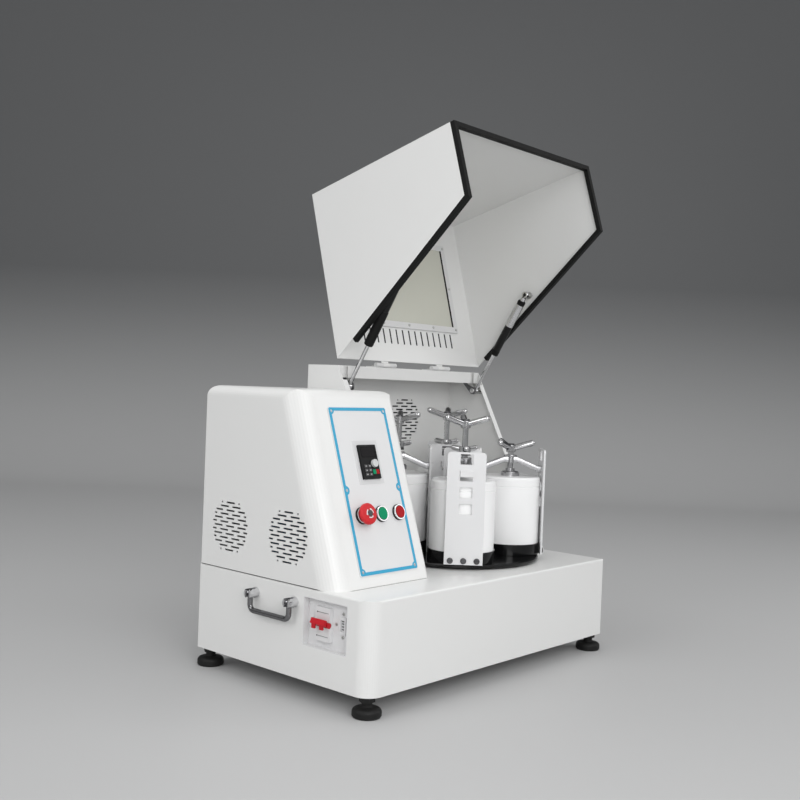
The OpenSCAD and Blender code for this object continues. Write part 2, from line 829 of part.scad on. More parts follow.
module estop_head() {
    color([0.90, 0.12, 0.12]) on_front(button_x[0], button_s) {
        translate([0, 0, stop_travel + face_gap - 6])
            cylinder(r = plunger_r, h = panel_t + bezel_t + rim_t + 7);
        translate([0, 0, panel_t + bezel_t + rim_t + stop_travel + face_gap])
        rotate_extrude() polygon(concat(
            [[0, 0], [plunger_r + 5, 0]],
            [[mushroom_r, 3]],
            arc([mushroom_r - 4, 6], 4, 0, 75, 5),
            [[0, 12]]
        ));
    }
}

module push_button(i) {
    on_front(button_x[i], button_s) {
        translate([0, 0, button_travel + face_gap - 6])
            cylinder(r = plunger_r, h = panel_t + 8);
        translate([0, 0, panel_t + 1 + button_travel + face_gap])
            cylinder(r = cap_r, h = bezel_t + rim_t - button_travel);
    }
}

module green_button() {
    color([0.06, 0.62, 0.37]) push_button(1);
}

module red_button() {
    color([0.77, 0.07, 0.11]) push_button(2);
}

// Rear wall of the chamber with its round vent field
module chamber_rear() {
    color(white) difference() {
        translate([chamber_x0 + sheet, rear_y, deck])
            cube([chamber_w - 2 * sheet, sheet, chamber_h - sheet]);
        translate([chamber_mid + rear_vent_x, rear_y + sheet + 1, chamber_top - rear_vent_drop])
            rotate([90, 0, 0]) vent_slots(sheet + 2);
    }
}

// Side walls of the chamber, each with a flange folded inward along its sloping edge
module chamber_sides() {
    slope = atan2(edge_dir[0], edge_dir[1]);
    run = norm(wall_top - wall_foot);
    back = rear_y + sheet;
    color(white) for (side = [0, 1]) {
        x0 = side == 0 ? chamber_x0 : chamber_x1 - sheet;
        xf = side == 0 ? chamber_x0 : chamber_x1 - flange_w;
        translate([x0, 0, 0]) rotate([90, 0, 90]) linear_extrude(sheet)
            polygon([wall_foot, [back, deck], [back, chamber_top], wall_top]);
        intersection() {
            translate([xf, wall_foot[0], wall_foot[1]]) rotate([-slope, 0, 0])
                translate([0, 0, -10]) cube([flange_w, sheet, run + 20]);
            translate([xf, wall_foot[0] - 20, deck])
                cube([flange_w, rail_y - wall_foot[0] + 20 - face_gap, chamber_h - lip_h - 4]);
        }
    }
}

// Rail along the top of the rear wall, with a lip folded down at its front
module chamber_rail() {
    color(white) difference() {
        translate([chamber_x0 + sheet, 0, 0]) rotate([90, 0, 90])
            linear_extrude(chamber_w - 2 * sheet) polygon([
                [rear_y + sheet, chamber_top], [rail_y, chamber_top], [rail_y, chamber_top - lip_h],
                [rail_y + sheet, chamber_top - lip_h], [rail_y + sheet, chamber_top - sheet],
                [rear_y + sheet, chamber_top - sheet]
            ]);
        for (x = [chamber_x0 + strut_x, chamber_x1 - strut_x])
            translate([x - rod_r - 3, rail_y - 1, chamber_top - lip_h - 1])
                cube([2 * rod_r + 6, rod_notch + 1, lip_h + 2]);
    }
}

// Fixed hinge leaves with their outer knuckles and pins
module hinge_leaves() {
    third = hinge_len / 3;
    color(white) for (sx = [-1, 1])
        translate([chamber_mid + sx * hinge_x, hinge_y, hinge_z]) {
            for (k = [-1, 1]) translate([k * third - third / 2, 0, 0]) {
                rotate([0, 90, 0]) cylinder(r = barrel_r, h = third);
                translate([0, 0, -barrel_r - 0.2]) cube([third, barrel_r, barrel_r]);
            }
            translate([-hinge_len / 2, barrel_r, -barrel_r - 0.2]) cube([hinge_len, 24, 2]);
            for (k = [-1, 1]) translate([k * third - third / 2, 3, -barrel_r - 0.2])
                cube([third, barrel_r, 2]);
            translate([-hinge_len / 2, 0, 0]) rotate([0, 90, 0])
                cylinder(r = hinge_pin_r, h = hinge_len);
        }
}

// Brackets under the rail that carry the lower strut joints
module strut_brackets() {
    color(steel) for (side = [0, 1]) {
        x = side == 0 ? chamber_x0 + sheet : chamber_x1 - sheet;
        m = side == 0 ? 1 : -1;
        translate([x, 0, 0]) mirror([side, 0, 0]) {
            rotate([90, 0, 90]) linear_extrude(3) polygon([
                [strut_foot[0] - 7, strut_foot[1] - 7], [strut_foot[0] + 7, strut_foot[1] - 7],
                [strut_foot[0] + 24, strut_foot[1] + 18], [strut_foot[0] + 8, strut_foot[1] + 18]
            ]);
            translate([0, strut_foot[0], strut_foot[1]]) rotate([0, 90, 0])
                cylinder(r = stud_r, h = strut_x - sheet - eye_t / 2 - face_gap);
        }
    }
}

// Three-phase motor standing on the bridge plate
module motor() {
    base = bridge_z + bridge_t;
    fins = 20;
    color([0.25, 0.35, 0.45]) translate([motor_ax, motor_ay, base]) difference() {
        union() {
            cylinder(r = motor_r, h = 12);
            translate([0, 0, 12]) cylinder(r = motor_r - 10, h = motor_h - 52);
            for (i = [0 : fins - 1]) rotate([0, 0, i * 360 / fins])
                translate([motor_r - 14, -1.5, 12]) cube([12, 3, motor_h - 60]);
            translate([0, 0, motor_h - 40]) cylinder(r = motor_r - 1, h = 40);
            translate([-35, motor_r - 20, deck - base + 2]) cube([70, 34, 60]);
        }
        translate([0, 0, -1]) cylinder(r = motor_shaft_r + run_fit, h = 61);
        translate([0, 0, motor_h - 36]) ring(motor_r - 8, 18, 50);
    }
}

module motor_pulley() {
    color(steel) translate([motor_ax, motor_ay, 0]) {
        translate([0, 0, pulley_z]) ring(motor_pulley_r, motor_shaft_r - 1, belt_w + 4);
        translate([0, 0, pulley_z - 4])
            cylinder(r = motor_shaft_r, h = bridge_z + bridge_t + 50 - pulley_z);
    }
}

// Loop of a belt round two circles: one at the origin, one at distance d along X
module belt_loop(r1, r2, d) {
    b = acos((r1 - r2) / d);
    polygon(concat(arc([0, 0], r1, b, 360 - b, 48), arc([d, 0], r2, -b, b, 24)));
}

module drive_belt() {
    span = [motor_ax - table_x, motor_ay - table_y];
    color(dark) translate([table_x, table_y, pulley_z + 2])
    rotate([0, 0, atan2(span[1], span[0])]) difference() {
        linear_extrude(belt_w)
            belt_loop(pulley_r + face_gap + belt_t, motor_pulley_r + face_gap + belt_t, norm(span));
        translate([0, 0, -1]) linear_extrude(belt_w + 2)
            belt_loop(pulley_r + face_gap, motor_pulley_r + face_gap, norm(span));
    }
}

// Outline of an involute spur gear with a tooth on the X axis, each flank set in by gap / 4
function involute(rb, t) = rb * [cos(t) + t * PI / 180 * sin(t), sin(t) - t * PI / 180 * cos(t)];
function gear_points(n, gap) =
    let (
        rp = gear_module * n / 2,
        rb = rp * cos(20),
        ra = rp + gear_module,
        rf = rp - 1.25 * gear_module,
        ta = acos(rb / ra),
        t_end = tan(ta) * 180 / PI,
        t_p = tan(20) * 180 / PI,
        inv_p = t_p - 20,
        half = 90 / n - gap / 4 / rp * 180 / PI,
        flank = [for (i = [0 : 4]) turn(involute(rb, t_end * i / 4), -inv_p - half)]
    )
    [for (k = [0 : n - 1]) each concat(
        [turn([rf, 0], -inv_p - half - 1.2 + k * 360 / n)],
        [for (p = flank) turn(p, k * 360 / n)],
        [for (i = [4 : -1 : 0]) turn([flank[i][0], -flank[i][1]], k * 360 / n)],
        [turn([rf, 0], inv_p + half + 1.2 + k * 360 / n)]
    )];

// Bridge plate across the cabinet with the bearing column and the fixed sun gear on top
module bearing_bridge() {
    x0 = motor_ax - motor_r - 8;
    x1 = table_x + pulley_r + 40;
    color(steel) difference() {
        union() {
            translate([x0, -half_d + sheet, bridge_z]) cube([x1 - x0, base_d - 2 * sheet, bridge_t]);
            translate([table_x, table_y, bridge_z]) cylinder(r = column_r, h = gear_z - bridge_z);
            translate([table_x, table_y, gear_z]) linear_extrude(gear_w)
                polygon(gear_points(sun_teeth, backlash));
            for (sy = [-1, 1]) translate([x0, sy > 0 ? half_d - sheet - 4 : -half_d + sheet, bridge_z - 24])
                cube([x1 - x0, 4, 24]);
        }
        translate([table_x, table_y, bridge_z - 30]) cylinder(r = shaft_r + run_fit, h = 120);
        translate([motor_ax, motor_ay, bridge_z - 1]) cylinder(r = motor_shaft_r + 4, h = bridge_t + 2);
    }
}

module at_station(k) {
    a = station_angle(k);
    translate([table_x + orbit * cos(a), table_y + orbit * sin(a), 0]) children();
}

// Turntable with its hub and planet bearings
module turntable() {
    color(dark) difference() {
        union() {
            translate([table_x, table_y, table_z]) rotate_extrude() polygon([
                [0, 0], [table_r - 1.5, 0], [table_r, 1.5], [table_r, table_t - 2],
                [table_r - 2, table_t], [0, table_t]
            ]);
            translate([table_x, table_y, table_z - boss_drop]) cylinder(r = hub_r, h = boss_drop);
            for (k = [0 : 3]) at_station(k) translate([0, 0, table_z - boss_drop])
                cylinder(r = boss_r, h = boss_drop);
        }
        translate([table_x, table_y, table_z - boss_drop - 1])
            cylinder(r = shaft_r + run_fit, h = boss_drop + 1);
        for (k = [0 : 3]) at_station(k) translate([0, 0, table_z - boss_drop - 1])
            cylinder(r = planet_shaft_r + run_fit, h = boss_drop + table_t + 2);
    }
}

// Main shaft through the bearing column, with the large pulley on its lower end
module main_shaft() {
    color(steel) translate([table_x, table_y, 0]) {
        translate([0, 0, shaft_z0]) cylinder(r = shaft_r, h = table_z - shaft_z0);
        translate([0, 0, pulley_z]) difference() {
            cylinder(r = pulley_r, h = belt_w + 4);
            translate([0, 0, -1]) ring(pulley_r - 14, shaft_r + 14, 9);
            translate([0, 0, belt_w - 4]) ring(pulley_r - 14, shaft_r + 14, 9);
        }
    }
}

// Places children in the hood's own frame: hinge axis at the origin, closed front towards -Y
module in_hood() {
    translate([0, hinge_y, hinge_z]) rotate([-hood_open, 0, 0]) children();
}

// Top panel with window opening, vent slots and the moving hinge knuckles
module hood_top() {
    third = hinge_len / 3;
    color(white) in_hood() {
        difference() {
            translate([chamber_x0, pt_a[0], -hood_t]) cube([chamber_w, pt_e[0] - pt_a[0], hood_t]);
            translate([chamber_mid - window_w / 2, -window_s - window_h, -hood_t - 1])
                cube([window_w, window_h, hood_t + 2]);
            for (i = [0 : hood_slots - 1])
                translate([chamber_mid + (i - (hood_slots - 1) / 2) * hood_slot_pitch - slot_w / 2,
                           -slot_s - hood_slot_l, -hood_t - 1])
                    cube([slot_w, hood_slot_l, hood_t + 2]);
        }
        for (sx = [-1, 1]) translate([chamber_mid + sx * hinge_x - third / 2 + face_gap / 2, 0, 0])
        difference() {
            union() {
                rotate([0, 90, 0]) cylinder(r = barrel_r, h = third - face_gap);
                translate([0, -hood_gap - 24, 0]) cube([third - face_gap, hood_gap + 24, 2]);
            }
            translate([-1, 0, 0]) rotate([0, 90, 0]) cylinder(r = hinge_pin_r + run_fit, h = third + 2);
        }
    }
}

// Side plates and front plate of the hood
module hood_skirt() {
    color(white) in_hood() {
        for (x = [chamber_x0, chamber_x1 - hood_t]) translate([x, 0, 0]) rotate([90, 0, 90])
            linear_extrude(hood_t) polygon([
                pt_a + [0, -hood_t], pt_b, pt_c, pt_e - slope_dir * (hood_t / slope_dir[1])
            ]);
        translate([chamber_x0, 0, 0]) rotate([90, 0, 90]) linear_extrude(chamber_w) polygon([
            pt_b, pt_b + foot_dir * (hood_t / foot_dir[0]), pt_a + [hood_t, -hood_t], pt_a + [0, -hood_t]
        ]);
    }
}

// Rubber seal along the front's foot, the sides' feet and the sloping edges
module hood_seal() {
    out1 = [foot_dir[1], -foot_dir[0]];
    out2 = [slope_dir[1], -slope_dir[0]];
    corner = (out1 + out2) / (1 + out1 * out2);
    color(dark) in_hood() {
        for (i = [0, 1]) {
            pt_d = pt_e - slope_dir * (i == 0 ? seal_stop_left : seal_stop_right);
            translate([i == 0 ? chamber_x0 : chamber_x1 - seal_w, 0, 0]) rotate([90, 0, 90])
                linear_extrude(seal_w) polygon([
                    pt_b, pt_b + seal_t * out1, pt_c + seal_t * corner, pt_d + seal_t * out2, pt_d, pt_c
                ]);
        }
        translate([chamber_x0 + seal_w, 0, 0]) rotate([90, 0, 90])
            linear_extrude(chamber_w - 2 * seal_w)
                polygon([pt_b, pt_b + seal_t * out1, pt_b + seal_t * out1 + seal_w * foot_dir,
                         pt_b + seal_w * foot_dir]);
    }
}

module window_pane() {
    color([0.72, 0.74, 0.68, 0.6]) in_hood()
        translate([chamber_mid - window_w / 2 - pane_lap, -window_s - window_h - pane_lap, -hood_t - pane_t])
            cube([window_w + 2 * pane_lap, window_h + 2 * pane_lap, pane_t]);
}

// Frame inside the hood that holds the pane against the top panel
module window_frame() {
    w = window_w + 2 * frame_lap;
    h = window_h + 2 * frame_lap;
    z = -hood_t - pane_t - frame_t;
    color(light) in_hood() translate([chamber_mid, -window_s - window_h / 2, 0]) difference() {
        translate([-w / 2, -h / 2, z]) cube([w, h, frame_t + pane_t]);
        translate([-window_w / 2 - pane_lap, -window_h / 2 - pane_lap, z + frame_t])
            cube([window_w + 2 * pane_lap, window_h + 2 * pane_lap, pane_t + 1]);
        translate([-window_w / 2, -window_h / 2, z - 1]) cube([window_w, window_h, frame_t + 2]);
    }
}

// Places children on a strut's line: lower joint at the origin, upper joint at strut_len on Z
module on_strut(side) {
    x = side == 0 ? chamber_x0 + strut_x : chamber_x1 - strut_x;
    translate([x, strut_foot[0], strut_foot[1]]) rotate([strut_lean, 0, 0]) children();
}

// Strut tube with its upper eye and the stud that joins it to the hood's side
module strut_tube(side) {
    m = side == 0 ? -1 : 1;
    z0 = strut_len - fitting - tube_len;
    color(dark) on_strut(side) difference() {
        union() {
            translate([0, 0, z0]) cylinder(r = tube_r, h = tube_len);
            translate([0, 0, strut_len - fitting - 1]) cylinder(r = 4.5, h = fitting);
            translate([m * -eye_t / 2, 0, strut_len]) rotate([0, m * 90, 0]) {
                cylinder(r = eye_r, h = eye_t);
                cylinder(r = stud_r, h = eye_t / 2 + strut_x - hood_t - face_gap);
            }
        }
        translate([0, 0, z0 + cap_l]) cylinder(r = piston_r, h = tube_len - cap_l - 6);
        translate([0, 0, z0 - 1]) cylinder(r = rod_r + run_fit, h = cap_l + 2);
    }
}

module strut_tube_left() {
    strut_tube(0);
}

module strut_tube_right() {
    strut_tube(1);
}

// Piston rod with its lower eye and the piston inside the tube
module strut_rod(side) {
    color(chrome) on_strut(side) {
        translate([0, 0, eye_r - 2])
            cylinder(r = rod_r, h = strut_len - fitting - tube_len + cap_l + 12 - eye_r);
        translate([0, 0, strut_len - fitting - tube_len + cap_l + 4])
            cylinder(r = piston_r - face_gap, h = 10);
        difference() {
            union() {
                translate([0, 0, stud_r + 2]) cylinder(r = rod_r + 1, h = fitting - stud_r - 2);
                translate([-eye_t / 2, 0, 0]) rotate([0, 90, 0]) cylinder(r = eye_r, h = eye_t);
            }
            translate([-eye_t, 0, 0]) rotate([0, 90, 0]) cylinder(r = 3, h = 2 * eye_t);
        }
    }
}

module strut_rod_left() {
    strut_rod(0);
}

module strut_rod_right() {
    strut_rod(1);
}

// Places children on a station's axis, with X pointing to its outer clamp plate
module on_station(k) {
    at_station(k) rotate([0, 0, station_angle(k) + planet_turn]) children();
}

// Turn that meshes a planet gear with the sun gear
function mesh_turn(a) = a * (1 + sun_teeth / planet_teeth) + 180 - 180 / planet_teeth;

// Jar holder with its shaft through the turntable and the planet gear below
module holder(k) {
    color(dark) {
        on_station(k) difference() {
            intersection() {
                translate([0, 0, holder_z]) cylinder(r = holder_r, h = holder_h);
                translate([-flat_x, -holder_r, holder_z]) cube([2 * flat_x, 2 * holder_r, holder_h]);
            }
            translate([0, 0, jar_z - seat_h]) cylinder(r = jar_r - 3.5, h = seat_h + 1);
        }
        at_station(k) {
            translate([0, 0, gear_z]) cylinder(r = planet_shaft_r, h = holder_z - gear_z + 1);
            translate([0, 0, gear_z]) rotate([0, 0, mesh_turn(station_angle(k))])
                linear_extrude(gear_w) polygon(gear_points(planet_teeth, backlash));
        }
    }
}

// Grinding jar with its lid: one closed hollow turned piece with a joint groove
module jar(k) {
    h = lid_z - jar_z;
    color([0.95, 0.95, 0.95]) on_station(k) translate([0, 0, jar_z]) rotate_extrude() difference() {
        polygon([
            [0, -seat_h], [jar_r - 4, -seat_h], [jar_r - 4, 0], [jar_r, 0], [jar_r, h - lid_h - 1],
            [jar_r - 1.5, h - lid_h], [jar_r, h - lid_h + 1], [jar_r, h - 4], [jar_r - 4, h], [0, h]
        ]);
        polygon([
            [0, jar_wall], [jar_r - jar_wall - 8, jar_wall], [jar_r - jar_wall, jar_wall + 8],
            [jar_r - jar_wall, h - lid_h], [0, h - lid_h]
        ]);
    }
}

// Clamp: two punched side plates and a roof-shaped yoke hooked into their second holes
module clamp(k) {
    x0 = flat_x;
    reach = flat_x + plate_t + lug_out;
    wide = hole_w - 2 * lug_fit;
    color(light) on_station(k) {
        for (m = [0, 1]) mirror([m, 0, 0]) difference() {
            translate([x0, 0, plate_z]) rotate([90, 0, 90]) linear_extrude(plate_t) polygon(concat(
                [[-plate_w / 2, 0], [plate_w / 2, 0]],
                arc([plate_w / 2 - plate_corner, plate_h - plate_corner], plate_corner, 0, 90, 6),
                arc([-plate_w / 2 + plate_corner, plate_h - plate_corner], plate_corner, 90, 180, 6)
            ));
            for (i = [0 : 3])
                translate([x0 - 1, -hole_w / 2, plate_top - hole_top - hole_h - i * hole_pitch])
                    cube([plate_t + 2, hole_w, hole_h]);
        }
        difference() {
            union() {
                translate([0, wide / 2, 0]) rotate([90, 0, 0]) linear_extrude(wide) polygon([
                    [-reach, yoke_z], [-x0 + 8, yoke_z], [-yoke_hub_r, yoke_hub_z],
                    [yoke_hub_r, yoke_hub_z], [x0 - 8, yoke_z], [reach, yoke_z],
                    [reach, yoke_z + yoke_t], [x0 - 8, yoke_z + yoke_t],
                    [yoke_hub_r, yoke_hub_z + yoke_t], [-yoke_hub_r, yoke_hub_z + yoke_t],
                    [-x0 + 8, yoke_z + yoke_t], [-reach, yoke_z + yoke_t]
                ]);
                translate([0, 0, yoke_hub_z]) cylinder(r = yoke_hub_r, h = yoke_hub_h);
            }
            translate([0, 0, yoke_hub_z - 5]) cylinder(r = screw_r + run_fit, h = yoke_hub_h + 10);
        }
    }
}

// Pressing pad under the screw; it slides without turning
module pad(k) {
    color(steel) on_station(k) translate([0, 0, pad_z(k)]) difference() {
        union() {
            cylinder(r = press_r, h = press_t - 2);
            translate([0, 0, press_t - 2]) cylinder(r1 = press_r, r2 = press_r - 2, h = 2);
            translate([0, 0, press_t]) cylinder(r = 10, h = collar_h);
        }
        translate([0, 0, 3]) cylinder(r = screw_r + run_fit, h = press_t + collar_h);
    }
}

// Hub with three rounded arms that rise outward from it
module star(r, h, reach, rise) {
    translate([0, 0, 0]) cylinder(r = r, h = h);
    for (i = [0 : 2]) rotate([0, 0, 120 * i]) translate([0, 0, h / 2]) rotate([0, 90 - rise, 0]) {
        cylinder(r = arm_r, h = reach / cos(rise) - arm_r);
        translate([0, 0, reach / cos(rise) - arm_r]) sphere(r = arm_r);
    }
}

function pad_z(k) = lid_z + (k == 1 ? 0 : pad_lift);
function reach_of(k) = [long_reach, short_reach, rear_reach, long_reach][k];
function star_turn(k) = [62, 113, 115, 27][k];

// Clamp screw with the star handle on its upper end
module screw(k) {
    color(chrome) on_station(k) translate([0, 0, pad_z(k)]) {
        translate([0, 0, 3 + face_gap]) cylinder(r = screw_r, h = reach_of(k) - 3);
        translate([0, 0, reach_of(k)]) rotate([0, 0, star_turn(k)])
            star(handle_hub_r, handle_hub_h, arm_reach, arm_rise);
        translate([0, 0, reach_of(k) + handle_hub_h]) cylinder(r = handle_hub_r - 2, h = 2.5);
    }
}

// Lock nut with three short arms, loosened on its screw above the yoke
module lock_nut(k) {
    color(chrome) on_station(k) translate([0, 0, yoke_top + nut_lift]) difference() {
        rotate([0, 0, star_turn(k) + 60]) star(handle_hub_r + 2, nut_h, nut_reach, arm_rise / 2);
        translate([0, 0, -1]) cylinder(r = screw_r + run_fit, h = nut_h + 2);
    }
}

module holder_front() { holder(0); }
module holder_right() { holder(1); }
module holder_rear() { holder(2); }
module holder_left() { holder(3); }
module jar_front() { jar(0); }
module jar_right() { jar(1); }
module jar_rear() { jar(2); }
module jar_left() { jar(3); }
module clamp_front() { clamp(0); }
module clamp_right() { clamp(1); }
module clamp_rear() { clamp(2); }
module clamp_left() { clamp(3); }
module pad_front() { pad(0); }
module pad_right() { pad(1); }
module pad_rear() { pad(2); }
module pad_left() { pad(3); }
module screw_front() { screw(0); }
module screw_right() { screw(1); }
module screw_rear() { screw(2); }
module screw_left() { screw(3); }
module nut_front() { lock_nut(0); }
module nut_rear() { lock_nut(2); }
module nut_left() { lock_nut(3); }

base_shell();
base_floor();
levelling_feet();
handle_posts();
bail_left();
bail_right();
breaker_tray();
breaker_toggle();
console_shell();
front_panel();
panel_border();
drive_keypad();
keypad_knob();
button_bodies();
estop_head();
green_button();
red_button();
chamber_rear();
chamber_sides();
chamber_rail();
hinge_leaves();
strut_brackets();
motor();
motor_pulley();
drive_belt();
bearing_bridge();
turntable();
main_shaft();
hood_top();
hood_skirt();
hood_seal();
window_pane();
window_frame();
strut_tube_left();
strut_tube_right();
strut_rod_left();
strut_rod_right();
holder_front();
holder_right();
holder_rear();
holder_left();
jar_front();
jar_right();
jar_rear();
jar_left();
clamp_front();
clamp_right();
clamp_rear();
clamp_left();
pad_front();
pad_right();
pad_rear();
pad_left();
screw_front();
screw_right();
screw_rear();
screw_left();
nut_front();
nut_rear();
nut_left();
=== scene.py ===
import math

import bmesh
import bpy
import numpy as np
from mathutils import Matrix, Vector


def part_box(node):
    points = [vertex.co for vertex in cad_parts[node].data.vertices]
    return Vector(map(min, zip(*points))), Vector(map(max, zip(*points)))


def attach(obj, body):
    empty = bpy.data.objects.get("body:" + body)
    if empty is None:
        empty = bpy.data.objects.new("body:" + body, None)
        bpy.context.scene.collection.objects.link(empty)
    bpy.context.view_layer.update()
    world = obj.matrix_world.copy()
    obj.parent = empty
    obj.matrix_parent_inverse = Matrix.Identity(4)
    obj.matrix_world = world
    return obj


# Planetary ball mill in metres: finishes for its CAD parts, and the small pieces that they don't have
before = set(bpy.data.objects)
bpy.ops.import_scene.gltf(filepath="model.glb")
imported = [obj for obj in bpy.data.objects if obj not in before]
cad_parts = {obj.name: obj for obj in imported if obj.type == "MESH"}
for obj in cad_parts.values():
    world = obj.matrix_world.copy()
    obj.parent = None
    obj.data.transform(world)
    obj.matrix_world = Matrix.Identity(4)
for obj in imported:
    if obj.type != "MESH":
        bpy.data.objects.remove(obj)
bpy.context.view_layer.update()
print("frame loaded")

# Camera at the photograph's viewing angle: turns in degrees, lens and sensor in millimetres
camera = dict(azimuth=-48.1136, elevation=0.8633, roll=2.2550, lens=46.54, sensor=36, farClip=50,
              place=(-1.64295, -1.41849, 0.57037))


def addObject(name, data):
    thing = bpy.data.objects.new(name, data)
    bpy.context.collection.objects.link(thing)
    return thing


def placeMatrix(one, two, three, place):
    # three axes and a place, as the columns of a 4 x 4 matrix
    matrix = np.eye(4)
    matrix[:3] = np.stack([one, two, three, place], 1)
    return Matrix(matrix.tolist())


def setCamera(c):
    az, el, roll = (math.radians(c[k]) for k in ("azimuth", "elevation", "roll"))
    back = np.array([math.sin(az) * math.cos(el), -math.cos(az) * math.cos(el), math.sin(el)])
    right = np.cross(-back, [0, 0, 1])
    right /= np.linalg.norm(right)
    up = np.cross(right, -back)
    turned = math.cos(roll) * right + math.sin(roll) * up
    upright = -math.sin(roll) * right + math.cos(roll) * up
    data = bpy.data.cameras.new("viewCamera")
    data.lens = c["lens"]
    data.sensor_width = c["sensor"]
    data.clip_end = c["farClip"]
    body = addObject("viewCamera", data)
    body.matrix_world = placeMatrix(turned, upright, back, c["place"])
    bpy.context.scene.camera = body


setCamera(camera)
print("camera set")


# Shader groups shared by the materials
def newGroup(name, *inputs):
    # inputs as (label, kind, starting value); every group puts out a colour, a roughness and a height
    tree = bpy.data.node_groups.new(name, "ShaderNodeTree")
    for label, kind, value in inputs:
        socket = tree.interface.new_socket(label, in_out="INPUT", socket_type="NodeSocket" + kind)
        socket.default_value = value
    for label, kind in (("Colour", "Color"), ("Roughness", "Float"), ("Height", "Float")):
        tree.interface.new_socket(label, in_out="OUTPUT", socket_type="NodeSocket" + kind)
    return tree, tree.nodes.new("NodeGroupInput"), tree.nodes.new("NodeGroupOutput")


def addNode(tree, kind, values=None, **settings):
    node = tree.nodes.new(kind)
    for key, value in settings.items():
        setattr(node, key, value)
    for key, value in (values or {}).items():
        node.inputs[key].default_value = value
    return node


def wire(tree, *links):
    # each link as (node, its output, node, its input)
    for source, output, target, entry in links:
        tree.links.new(source.outputs[output], target.inputs[entry])


def orangePeelGroup():
    # powder coat: fine noise gives the skin's waviness, a slow noise shifts its roughness and tone
    d = dict(spread=0.10, shade=(0.25, 0.24, 0.22, 1))
    tree, start, end = newGroup("orangePeel", ("Colour", "Color", (0.8, 0.8, 0.8, 1)),
                                ("Grain", "Float", 900.0), ("Gloss", "Float", 0.32), ("Tone", "Float", 0.02))
    where = addNode(tree, "ShaderNodeTexCoord")
    fine = addNode(tree, "ShaderNodeTexNoise", {"Detail": 2.0})
    slow = addNode(tree, "ShaderNodeTexNoise", {"Scale": 5.0, "Detail": 3.0})
    rough = addNode(tree, "ShaderNodeMath", {1: d["spread"]}, operation="MULTIPLY_ADD")
    shade = addNode(tree, "ShaderNodeMath", operation="MULTIPLY")
    darker = addNode(tree, "ShaderNodeMix", {"B": d["shade"]}, data_type="RGBA")
    wire(tree, (where, "Object", fine, "Vector"), (where, "Object", slow, "Vector"),
         (start, "Grain", fine, "Scale"), (slow, 0, rough, 0), (start, "Gloss", rough, 2),
         (slow, 0, shade, 0), (start, "Tone", shade, 1), (shade, 0, darker, "Factor"),
         (start, "Colour", darker, "A"), (darker, "Result", end, "Colour"),
         (rough, 0, end, "Roughness"), (fine, 0, end, "Height"))
    return tree


def brushedGroup():
    # metal: noise stretched along one axis makes the drawn or turned marks, a slow noise the smears
    d = dict(dull=(0.30, 0.30, 0.31, 1))
    tree, start, end = newGroup("brushedMetal", ("Colour", "Color", (0.6, 0.6, 0.6, 1)),
                                ("Stretch", "Vector", (40.0, 40.0, 900.0)), ("Gloss", "Float", 0.25),
                                ("Streak", "Float", 0.2))
    where = addNode(tree, "ShaderNodeTexCoord")
    scaled = addNode(tree, "ShaderNodeVectorMath", operation="MULTIPLY")
    marks = addNode(tree, "ShaderNodeTexNoise", {"Scale": 1.0, "Detail": 3.0})
    smear = addNode(tree, "ShaderNodeTexNoise", {"Scale": 30.0, "Detail": 3.0})
    both = addNode(tree, "ShaderNodeMath", operation="MULTIPLY")
    rough = addNode(tree, "ShaderNodeMath", operation="MULTIPLY_ADD")
    dim = addNode(tree, "ShaderNodeMix", {"B": d["dull"]}, data_type="RGBA")
    wire(tree, (where, "Object", scaled, 0), (start, "Stretch", scaled, 1), (scaled, 0, marks, "Vector"),
         (where, "Object", smear, "Vector"), (marks, 0, both, 0), (smear, 0, both, 1),
         (both, 0, rough, 0), (start, "Streak", rough, 1), (start, "Gloss", rough, 2),
         (both, 0, dim, "Factor"), (start, "Colour", dim, "A"), (dim, "Result", end, "Colour"),
         (rough, 0, end, "Roughness"), (marks, 0, end, "Height"))
    return tree


def mouldedGroup():
    # rubber and moulded plastic: pores from a Voronoi field over a soft mottle
    d = dict(spread=0.2, dust=(0.45, 0.44, 0.42, 1))
    tree, start, end = newGroup("mouldedGrain", ("Colour", "Color", (0.03, 0.03, 0.03, 1)),
                                ("Grain", "Float", 1600.0), ("Gloss", "Float", 0.5), ("Dust", "Float", 0.1))
    where = addNode(tree, "ShaderNodeTexCoord")
    pores = addNode(tree, "ShaderNodeTexVoronoi")
    mottle = addNode(tree, "ShaderNodeTexNoise", {"Scale": 40.0, "Detail": 4.0})
    rough = addNode(tree, "ShaderNodeMath", {1: d["spread"]}, operation="MULTIPLY_ADD")
    veil = addNode(tree, "ShaderNodeMath", operation="MULTIPLY")
    dusty = addNode(tree, "ShaderNodeMix", {"B": d["dust"]}, data_type="RGBA")
    wire(tree, (where, "Object", pores, "Vector"), (start, "Grain", pores, "Scale"),
         (where, "Object", mottle, "Vector"), (mottle, 0, rough, 0), (start, "Gloss", rough, 2),
         (mottle, 0, veil, 0), (start, "Dust", veil, 1), (veil, 0, dusty, "Factor"),
         (start, "Colour", dusty, "A"), (dusty, "Result", end, "Colour"),
         (rough, 0, end, "Roughness"), (pores, "Distance", end, "Height"))
    return tree


groups = dict(paint=orangePeelGroup(), metal=brushedGroup(), moulded=mouldedGroup())
reliefDepth = 0.0003  # height of a bump at full strength


